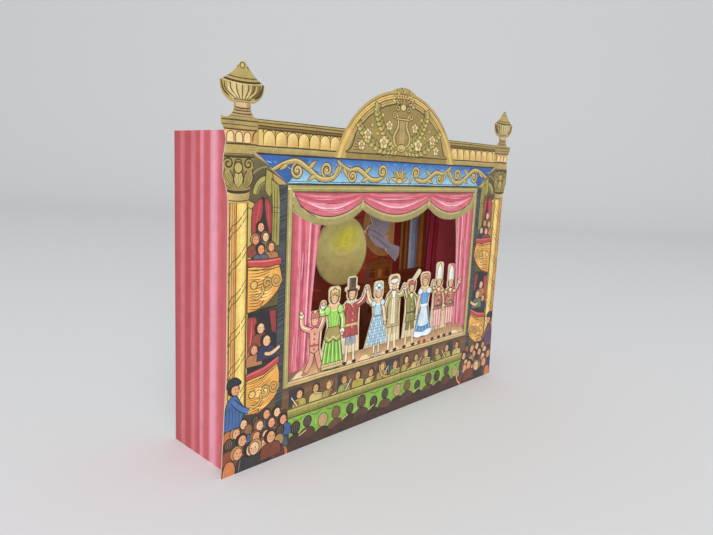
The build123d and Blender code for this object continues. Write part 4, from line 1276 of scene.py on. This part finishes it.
def rail(picture):
    picture.fill(bar(-62.8, 62.8, 14.4, 18.4), wash("#b0a65a", "#8a8344", (0, 18), (0, 15)))
    for i in range(42):
        x = -61 + 2.95 * i
        picture.pen([(x, 17.4), (x + chance.uniform(-0.4, 0.4), 15.4)], 0.32, "#5f5a30", 0.5)
    for z, width, tone in ((18.3, 0.5, "#4e4a28"), (17.5, 0.25, "#d2c884"), (15.3, 0.25, "#6d6836"), (14.5, 0.55, "#46431f")):
        rule(picture, -62.6, 62.6, z, width, tone)


def stalls(picture):
    picture.fill(bar(-62.8, 62.8, -1, 14.3), "#84ad48")
    for i in range(150):
        x = -62 + 0.83 * i
        z = chance.uniform(7, 14)
        picture.pen([(x, z), (x + chance.uniform(-0.5, 0.5), z - chance.uniform(2, 6))], chance.uniform(0.25, 0.7),
                    chance.choice(("#a9d262", "#5d8638", "#94c052", "#476a2c", "#bfe07e")), 0.3)
    for i in range(13):
        x = -54 + 9.1 * i
        picture.pen(bend([(x - 3.4, 13.6), (x, 12.6), (x + 3.4, 13.6)]), 0.35, "#3f5a26", 0.5)
    hairs = ("#352c2a", "#5a4030", "#2d3330", "#7a5a3c", "#c2a070", "#3c3a3a")
    coats = ("#43352f", "#5d4038", "#3a3634", "#6a4a38")
    for i, x in enumerate((-55.6, -49.2, -40.6, -33.0, -24.6, -17.4, -9.2, -1.6, 7.4, 14.6, 22.6, 31.4, 38.6, 46.8, 54.4)):
        z = (9.6, 10.8, 8.8, 10.2)[i % 4] + chance.uniform(-0.4, 0.4)
        back_of_head(picture, x, z, (2.5, 2.2, 2.7)[i % 3], hairs[(5 * i) % 6], coats[i % 4])
    picture.fill([(-62.8, -1), (62.8, -1), (62.8, 3.0), *[(60 - 6 * i, 3.4 + 1.5 * (i % 2)) for i in range(21)], (-62.8, 3.0)], "#4c362f")
    for i in range(70):
        x, z = chance.uniform(-62, 61), chance.uniform(0.4, 3.6)
        picture.pen([(x, z), (x + chance.uniform(1, 2.4), z + chance.uniform(-0.3, 0.6))], 0.24, chance.choice(("#7a5a48", "#2f221e")), 0.3)
    for x in (-53.6, -29.4, -12.8, 20.0, 35.6):
        picture.pen([(x, 5.6), (x + 3.8, 7.0)], 1.0, "#33261c", 0.8)
        picture.pen([(x, 5.6), (x + 3.8, 7.0)], 0.65, "#dcc08c", 0.8)


# %% The crowd in the corners
def corner(picture, swap):
    picture.fill([(-91, -1), (-91, 20.5), (-80, 22), (-70, 20.6), (-60, 19.0), (-58, -1)], "#4b3a34")
    coats = ("#42628f", "#8c4c3a", "#4d5b68", "#b96f42", "#5d4238", "#7f5246", "#39424e")
    hairs = ("#33251e", "#8d5c34", "#b68b52", "#4c3428", "#2c2826")
    skins = (PEACH, "#dc9c70", FLESH)
    number = swap
    for z, first_x, pitch, r in ((19.0, -85.2, 5.0, 1.8), (15.6, -83.0, 5.2, 1.9), (11.6, -86.4, 5.6, 2.1), (7.4, -83.0, 6.4, 2.3)):
        for i in range(5):
            x = first_x + pitch * i + chance.uniform(-0.8, 0.8)
            if x > -59.5:
                continue
            height = z + chance.uniform(-0.8, 0.8)
            number += 1
            if number % 4 == 3:
                back_of_head(picture, x, height, r, hairs[(3 * number) % 5], coats[(2 * number) % 7])
            else:
                onlooker(picture, x, height, r, coats[(2 * number + 1) % 7], hairs[(2 * number) % 5], skins[number % 3], 0.9)
            if number % 5 == 1:
                picture.pen(bend([(x + r, height - 3.4 * r), (x + 2.6 * r, height - 2.4 * r), (x + 3.4 * r, height - 0.6 * r)]), 1.6, "#33261c", 0.7)
                picture.pen(bend([(x + r, height - 3.4 * r), (x + 2.6 * r, height - 2.4 * r), (x + 3.4 * r, height - 0.6 * r)]), 1.0,
                            skins[number % 3], 0.7)
    # The nearest backs, dark against the rest.
    for x, width, tone in ((-86.8, 5.0, "#cd7d4a"), (-80.6, 6.0, "#3a3a42"), (-72.4, 7.0, "#33302f"), (-64.6, 6.0, "#5a3a34")):
        hump = bend([(x - width / 1.6, -1), (x - width / 2, 3.2), (x - width / 6, 5.6), (x + width / 3, 5.0), (x + width / 1.8, 2.4),
                     (x + width / 1.6, -1)])
        picture.outlined(hump, tone, 0.35, "#2a1f1c")
        picture.pen(bend([(x - width / 5, 5), (x - width / 3.4, 2.6), (x - width / 3, 0.4)]), 0.3, "#9a7a66", 0.3)
    onlooker(picture, -75.6, 7.4, 2.5, "#3c3836", "#b3905c", FLESH, -0.6)
    onlooker(picture, -67.8, 9.6, 2.3, "#7a4434", "#3a2a22", PEACH, 0.8)
    # One tall onlooker at the column's foot.
    body = bend([(-89.6, 17.5), (-88.6, 25.6), (-87.0, 29.4), (-84.2, 30.4), (-82.2, 27.6), (-80.4, 23.6), (-82.4, 18.0)])
    picture.outlined(body, ("#46689a", "#6d4a58")[swap // 2], 0.4, "#22283a")
    for i in range(5):
        picture.pen(bend([(-88.2 + 1.3 * i, 27.6 - 0.5 * i), (-88.2 + 1.4 * i, 23), (-88.6 + 1.5 * i, 19)]), 0.3, "#2b3f66", 0.4)
    picture.pen(bend([(-85.6, 28.6), (-82.0, 25.0), (-78.4, 22.8)]), 2.6, "#22283a", 0.8)
    picture.pen(bend([(-85.6, 28.6), (-82.0, 25.0), (-78.4, 22.8)]), 1.9, ("#4f74a8", "#7d5a68")[swap // 2], 0.8)
    face(picture, -84.4, 32.6, 2.0, "#d99a72", 1.4, "#33251e")
    picture.outlined(bend([(-88.0, 33.6), (-87.6, 36.4), (-84.8, 37.4), (-82.4, 36.0), (-82.0, 34.6), (-85.0, 34.2)]), "#2f3440", 0.35, "#1c1a1c")


house_start = len(front.shapes)
pit(front)
stalls(front)
rail(front)
both_sides(corner, 0, 2)
# The pit's lip crosses the last heads again.
rule(front, -60, 60, 27.5, 0.6, "#4a3a22")
print("house drawn:", len(front.shapes) - house_start, "shapes")

# %% [markdown]
# ## Backdrop and hung sheet
# The back wall shows a street at dusk: warm red air, a tan moon, a house front, a grey pillar and a deep
# red drape. The hung sheet carries a gilt disc and a grey dove, both without writing. The air, the ground,
# the moon and the disc are painted darker towards the bottom as painted shade of the light from above.

# %% Backdrop
backdrop = Picture()


def dusk(picture):
    # Painted shade: the air is lighter at the top and darker towards the bottom, as the light falls in from above.
    picture.fill(bar(-88, 88, 0, 125), wash("#a8432c", "#8f3a26", (0, 110), (0, 20)))
    for i in range(150):
        x, z = chance.uniform(-84, 46), chance.uniform(24, 118)
        picture.pen(bend([(x, z), (x + 3, z + chance.uniform(-1, 1)), (x + chance.uniform(6, 16), z + chance.uniform(-2, 2))]),
                    chance.uniform(0.5, 1.6), chance.choice(("#b5492f", "#962f26", "#a84f2c", "#8a3a22", "#c25a3a")), 0.2)
    # Painted shade: the ground too is painted darker towards its foot.
    picture.fill(bar(-88, 88, 0, 44), wash("#96501e", "#7a3a1c", (0, 44), (0, 28)))
    for i in range(120):
        x, z = chance.uniform(-84, 84), chance.uniform(26, 48)
        picture.pen([(x, z), (x + chance.uniform(3, 8), z + chance.uniform(-0.6, 0.6))], chance.uniform(0.4, 1.1),
                    chance.choice(("#a8641f", "#7c3a18", "#b8722c", "#6a2f18")), 0.3)
    picture.fill(oval(37, 84, 17.6), "#8f4a2a")
    # Painted shade: the moon is lighter at its upper left and darker towards its lower right, away from the light.
    picture.fill(oval(37, 84, 17.0), wash("#c8925e", "#bb7f4c", (30, 90), (48, 74)))
    for i in range(26):
        angle, r = chance.uniform(0, 360), 16.5 * math.sqrt(chance.random())
        x, z = 37 + r * math.cos(math.radians(angle)) * 0.8, 84 + r * math.sin(math.radians(angle)) * 0.9
        picture.fill(oval(x, z, chance.uniform(0.8, 3.0), chance.uniform(0.5, 1.4), chance.uniform(-20, 20)),
                     chance.choice(("#cf9c68", "#b87c4a", "#d6a672")))
    # Houses: brown fronts with gables and small windows.
    for x0, x1, roof, tone in ((24, 45.4, 67, "#8a4c22"), (-36, -14, 60, "#7d3c20"), (-70, -48, 64, "#84431f"), (2, 22, 56, "#7a361f")):
        picture.outlined([(x0, 30), (x0, roof - 3), ((x0 + x1) / 2, roof), (x1, roof - 3), (x1, 30)], tone, 0.5, "#5a2416")
        for row in range(3):
            for column_number in range(3):
                x = x0 + (x1 - x0) * (0.22 + 0.28 * column_number)
                z = roof - 9 - 9.5 * row
                picture.outlined(bar(x - 1.7, x + 1.7, z - 2.6, z + 2.2), ("#6a3018", "#b5742c")[(row + column_number) % 2], 0.3, "#4a1f14")
        for i in range(8):
            z = roof - 4 - 3.8 * i
            rule(picture, x0 + 0.6, x1 - 0.6, z, 0.3, chance.choice(("#6d3418", "#a8642c")))
    picture.fill(bar(23.4, 26.6, 30, 64), "#7c4a3c")
    rule(picture, 26, 45.6, 54, 0.7, "#5f2614")


def pillars(picture):
    strips = ((45.2, 50.4, "#7a1f1e"), (50.4, 52.6, "#8a6a2e"), (52.6, 54.4, "#6c3418"), (54.4, 56.6, "#9a5a26"), (56.6, 58.0, "#6a4a34"),
              (58.0, 65.6, "#8b95a8"), (65.6, 67.2, "#9a5a44"), (67.2, 70.8, "#a8661f"), (70.8, 73.6, "#6e3a20"), (73.6, 88, "#c0485a"))
    for x0, x1, tone in strips:
        picture.fill(bar(x0, x1, 24, 122), tone)
        picture.pen([(x0, 24), (x0, 122)], 0.5, "#5a2a1c", 1.0)
    picture.fill(bar(58.2, 60.4, 34, 92), "#a4afc0")
    picture.fill(bar(63.4, 65.4, 34, 92), "#6f788c")
    picture.outlined(oval(62.0, 91.5, 6.4, 3.4), "#8f9aae", 0.6, "#5a5f70")
    picture.outlined(oval(62.0, 88.2, 4.4, 1.5), "#a9b2c2", 0.5, "#5a5f70")
    picture.pen(volute(66.0, 92.0, 2.6, 180, 1.2, -1), 0.7, "#5a5f70")
    picture.fill(bar(45, 74, 24, 58), "#6c2f1b")
    for i in range(30):
        z = 26 + 1.1 * i
        picture.pen([(46, z), (73, z + chance.uniform(-0.5, 0.5))], 0.35, chance.choice(("#8a4420", "#4f2013")), 0.5)
    for x, tone, width in ((75.4, "#8c1f30", 1.6), (78.2, "#b84454", 1.8), (81.0, "#8a1b2c", 1.6), (84.0, "#a83444", 1.6)):
        picture.pen(bend([(x, 121), (x + 0.8, 90), (x - 0.8, 60), (x, 26)]), width, tone, 0.7)
    picture.pen(bend([(74.6, 118), (75.6, 90), (74.2, 60), (75.0, 28)]), 0.5, "#5f1420", 0.7)


dusk(backdrop)
pillars(backdrop)
print("backdrop drawn:", len(backdrop.shapes), "shapes")

# %% Hung sheet
hanging = Picture()
DISC = (-15.7, 76.4, 16.0)


def disc_and_dove(picture):
    x, z, r = DISC
    picture.fill(bar(-88, 88, 50, 125), "#8d3a2c")
    for i in range(20):
        picture.pen(bend([(-86 + 9 * i, 99.5), (-82 + 9 * i, 104), (-78 + 9 * i, 110)]), 0.9, "#a34a38", 0.4)
    picture.fill([*oval(x, z, r + 1), *[(x + 7, z + 20), (x - 7, z + 20)]], "#b5a55e")
    # Painted shade: the disc is lighter at its top and darker towards its foot, as the light falls from above.
    picture.fill(oval(x, z, r + 1), wash("#c5ba6c", "#a8965a", (x, z + 13), (x, z - 8)))
    for i in range(9):
        t = i / 8
        tone = ("#bcae64", "#bdb060", "#bfb258", "#c0b352", "#c1b44c", "#c2b646", "#c4b840", "#c5b93c", "#c6ba38")[i]
        picture.fill(oval(x + 2.4, z + 5.4, 11.0 - 7.6 * t, 7.6 - 5.2 * t, 12), tone)
    for i in range(40):
        angle, reach = chance.uniform(0, 2 * math.pi), r * math.sqrt(chance.random()) * 0.94
        u, v = x + reach * math.cos(angle), z + reach * math.sin(angle)
        picture.pen([(u, v), (u + chance.uniform(0.8, 2.6), v + chance.uniform(-0.4, 0.6))], chance.uniform(0.25, 0.6),
                    chance.choice(("#b8a862", "#a5935a", "#c9bc72")), 0.3)
    picture.pen([*oval(x, z, r - 0.2), oval(x, z, r - 0.2)[0]], 0.45, "#8a7a44", 1.0)
    # The dove, with its wings up.
    picture.fill(bar(1, 24, 66, 97.5), "#83767f")
    for points in ([(2.4, 82.6), (7, 80.8), (12.6, 77.6), (17.4, 75.0)], [(3.4, 84.8), (8, 83.0), (13.2, 80.0)]):
        picture.pen(bend(points), 0.7, "#5c5058", 0.3)
    for lean, x0, z0, span in ((66, 10.6, 80.6, 15.5), (112, 8.4, 81.6, 12.6)):
        turned = math.radians(lean)
        for i in range(5):
            offset = (i - 2) * 1.15
            start = (x0 - offset * math.sin(turned), z0 + offset * math.cos(turned))
            end = (start[0] + span * (1 - 0.06 * abs(i - 2)) * math.cos(turned), start[1] + span * (1 - 0.06 * abs(i - 2)) * math.sin(turned))
            picture.pen([start, end], 0.35, "#544a54", 0.4)
            picture.pen([(start[0] + 0.4, start[1]), (end[0] + 0.4, end[1])], 0.4, "#a49aa2", 0.3)
    for i in range(4):
        picture.pen([(14.6, 76.4 - 0.9 * i), (22.4, 73.6 - 1.4 * i)], 0.35, "#544a54", 0.4)
    picture.fill(oval(2.0, 85.0, 0.42), "#2c2428")
    picture.pen([(0.2, 83.9), (-2.4, 83.0)], 0.3, "#4a3f44", 0.3)


disc_and_dove(hanging)
print("hung sheet drawn:", len(hanging.shapes), "shapes")

# %% [markdown]
# ## The sheets
# The front panel's print is a whole sheet: its printed face, the white pulp at its cut edges and its
# plain back, so it stands in for the CAD node. The folded box and the hung sheet stay as they are, and
# each gets a skin of print two hundredths of a millimetre in front of the card that it covers.

# %% Front panel
def dress(piece, slot_name):
    for material in (card_print, board_edge, board_back):
        piece.data.materials.append(material)
    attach(piece, "root")


front_print = printed("front_print", front, face_loops("front_panel", front_y, -1), front_y, -1, card_thickness)
dress(front_print, "front_card")
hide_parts("front_panel")

# %% Backdrop and hung sheet
skin = 0.02
wall = box_half_width - 2 * card_thickness
backdrop_print = printed("backdrop_print", backdrop, [bar(-wall, wall, 0.3, box_height - 0.3)], back_y - skin, -1)
dress(backdrop_print, "box_card")
hanging_print = printed("hanging_print", hanging, face_loops("hanging_border", hanging_y, -1), hanging_y - skin, -1)
dress(hanging_print, "border_card")

# %% [markdown]
# ## The box
# The box's card is printed outside with soft stripes like a stage curtain's folds, and inside with dark
# red walls. The stripes run up the side walls, so a colour ramp across the box's depth prints them, and
# how far out a point lies says whether it is the outside, the inside or the plain back.

# %% Folded box
STRIPES = (
    (0.00, "#c4545a"), (0.10, "#cc6066"), (0.16, "#c4565c"), (0.22, "#cf6a74"), (0.255, "#e28fa2"), (0.30, "#ea9fb2"),
    (0.345, "#e391a4"), (0.37, "#c75c64"), (0.41, "#c4575e"), (0.455, "#c9606a"), (0.485, "#e0899b"), (0.515, "#df8698"),
    (0.54, "#bb4c52"), (0.59, "#c0545a"), (0.63, "#d2707c"), (0.67, "#d0707a"), (0.70, "#b8484e"), (0.78, "#b64a4e"),
    (0.815, "#cc6872"), (0.86, "#cf6e78"), (0.89, "#b84c52"), (1.00, "#b04448"),
)


def either(tree, choice, first, second):
    """A colour socket that is the first colour where choice is 0 and the second where it is 1."""
    mixed = tree.nodes.new("ShaderNodeMix")
    mixed.data_type = "RGBA"
    tree.links.new(choice, mixed.inputs[0])
    for socket, colour in ((mixed.inputs[6], first), (mixed.inputs[7], second)):
        if isinstance(colour, bpy.types.NodeSocket):
            tree.links.new(colour, socket)
        else:
            socket.default_value = (*ink(colour), 1)
    return mixed.outputs[2]


def striped_box():
    material, tree = new_material("litho_printed_box_card")
    place = node(tree, "ShaderNodeTexCoord").outputs["Object"]
    parts = node(tree, "ShaderNodeSeparateXYZ", links={"Vector": place})
    across = node(tree, "ShaderNodeMapRange", {"From Min": front_y * MM, "From Max": -front_y * MM},
                  {"Value": parts.outputs["Y"]})
    stripes = node(tree, "ShaderNodeValToRGB", links={"Fac": across.outputs[0]})
    ramp = stripes.color_ramp
    while len(ramp.elements) < len(STRIPES):
        ramp.elements.new(0.5)
    for element, (position, code) in zip(ramp.elements, STRIPES):
        element.position = position
        element.color = (*ink(code), 1)
    pooling = node(tree, "ShaderNodeTexNoise", {"Scale": 1 / (5 * MM), "Detail": 5.0, "Roughness": 0.6},
                   {"Vector": place})
    thin = node(tree, "ShaderNodeMapRange", {"From Min": 0.3, "From Max": 0.7, "To Min": 0.93, "To Max": 1.07},
                {"Value": pooling.outputs["Fac"]})
    spread = node(tree, "ShaderNodeMath", {"operation": "ABSOLUTE"}, {0: parts.outputs["X"]})
    outside = node(tree, "ShaderNodeMath",
                   {"operation": "GREATER_THAN", 1: (box_half_width - card_thickness / 2) * MM},
                   {0: spread.outputs[0]})
    behind = node(tree, "ShaderNodeMath", {"operation": "GREATER_THAN", 1: (back_y + card_thickness / 2) * MM},
                  {0: parts.outputs["Y"]})
    walls = either(tree, outside.outputs[0], "#c2525a", stripes.outputs["Color"])
    washed = node(tree, "ShaderNodeVectorMath", {"operation": "SCALE"}, {0: walls, "Scale": thin.outputs[0]})
    whole = either(tree, behind.outputs[0], washed.outputs["Vector"], "#eeece6")
    finish_material(tree, whole, pooling.outputs["Fac"], 0.02, 0.45)
    return material


box_card = striped_box()
for name, material in (("stage_box", box_card), ("hanging_border", board_back)):
    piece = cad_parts[name]
    piece.data.materials.clear()
    piece.data.materials.append(material)
print("box card stripes:", len(STRIPES))

# %% [markdown]
# ## Floor and light
# The card stands on a pale sweep under a plain white sky, with one large soft lamp high at the front
# left, so colours render about as they are written and the shadows are faint and wide.

# %% Floor
def sweep():
    """A floor that curves up into a wall far behind the card."""
    width, front, back, height, radius = 4.0, -1.6, 1.5, 2.2, 0.5
    profile = [(front, 0.0), (back - radius, 0.0)]
    for i in range(1, 13):
        angle = math.pi / 2 * i / 12
        profile.append((back - radius + radius * math.sin(angle), radius - radius * math.cos(angle)))
    profile.append((back, height))
    verts = [(x, y, z) for x in (-width / 2, width / 2) for y, z in profile]
    count = len(profile)
    faces = [(i, i + 1, i + 1 + count, i + count) for i in range(count - 1)]
    mesh = bpy.data.meshes.new("sweep")
    mesh.from_pydata(verts, [], faces)
    mesh.polygons.foreach_set("use_smooth", [True] * len(faces))
    piece = bpy.data.objects.new("sweep", mesh)
    piece.rotation_euler.z = -math.radians(camera_yaw)
    scene.collection.objects.link(piece)
    material, tree = new_material("matt_paper_backdrop")
    shader = node(tree, "ShaderNodeBsdfPrincipled",
                  {"Base Color": (*ink("#e6e7e8"), 1), "Roughness": 0.9, "Specular IOR Level": 0.1})
    node(tree, "ShaderNodeOutputMaterial", links={"Surface": shader.outputs["BSDF"]})
    mesh.materials.append(material)


sweep()

# %% Light
world = bpy.data.worlds.new("sky")
world.use_nodes = True
world.node_tree.nodes["Background"].inputs["Color"].default_value = (0.985, 0.99, 1.0, 1)
world.node_tree.nodes["Background"].inputs["Strength"].default_value = 0.6
scene.world = world


def lamp(name, place, size, watts, target=(0, 0, 0.06)):
    """A round soft lamp that looks at the target."""
    data = bpy.data.lights.new(name, "AREA")
    data.shape = "DISK"
    data.size = size
    data.energy = watts
    made = bpy.data.objects.new(name, data)
    made.location = place
    made.rotation_euler = (Vector(target) - made.location).to_track_quat("-Z", "Y").to_euler()
    scene.collection.objects.link(made)


lamp("ceiling_lamp", (-0.5, -0.7, 1.25), 0.8, 3.0)
lamp("window_light", (-1.0, -1.2, 0.5), 0.9, 14.0)
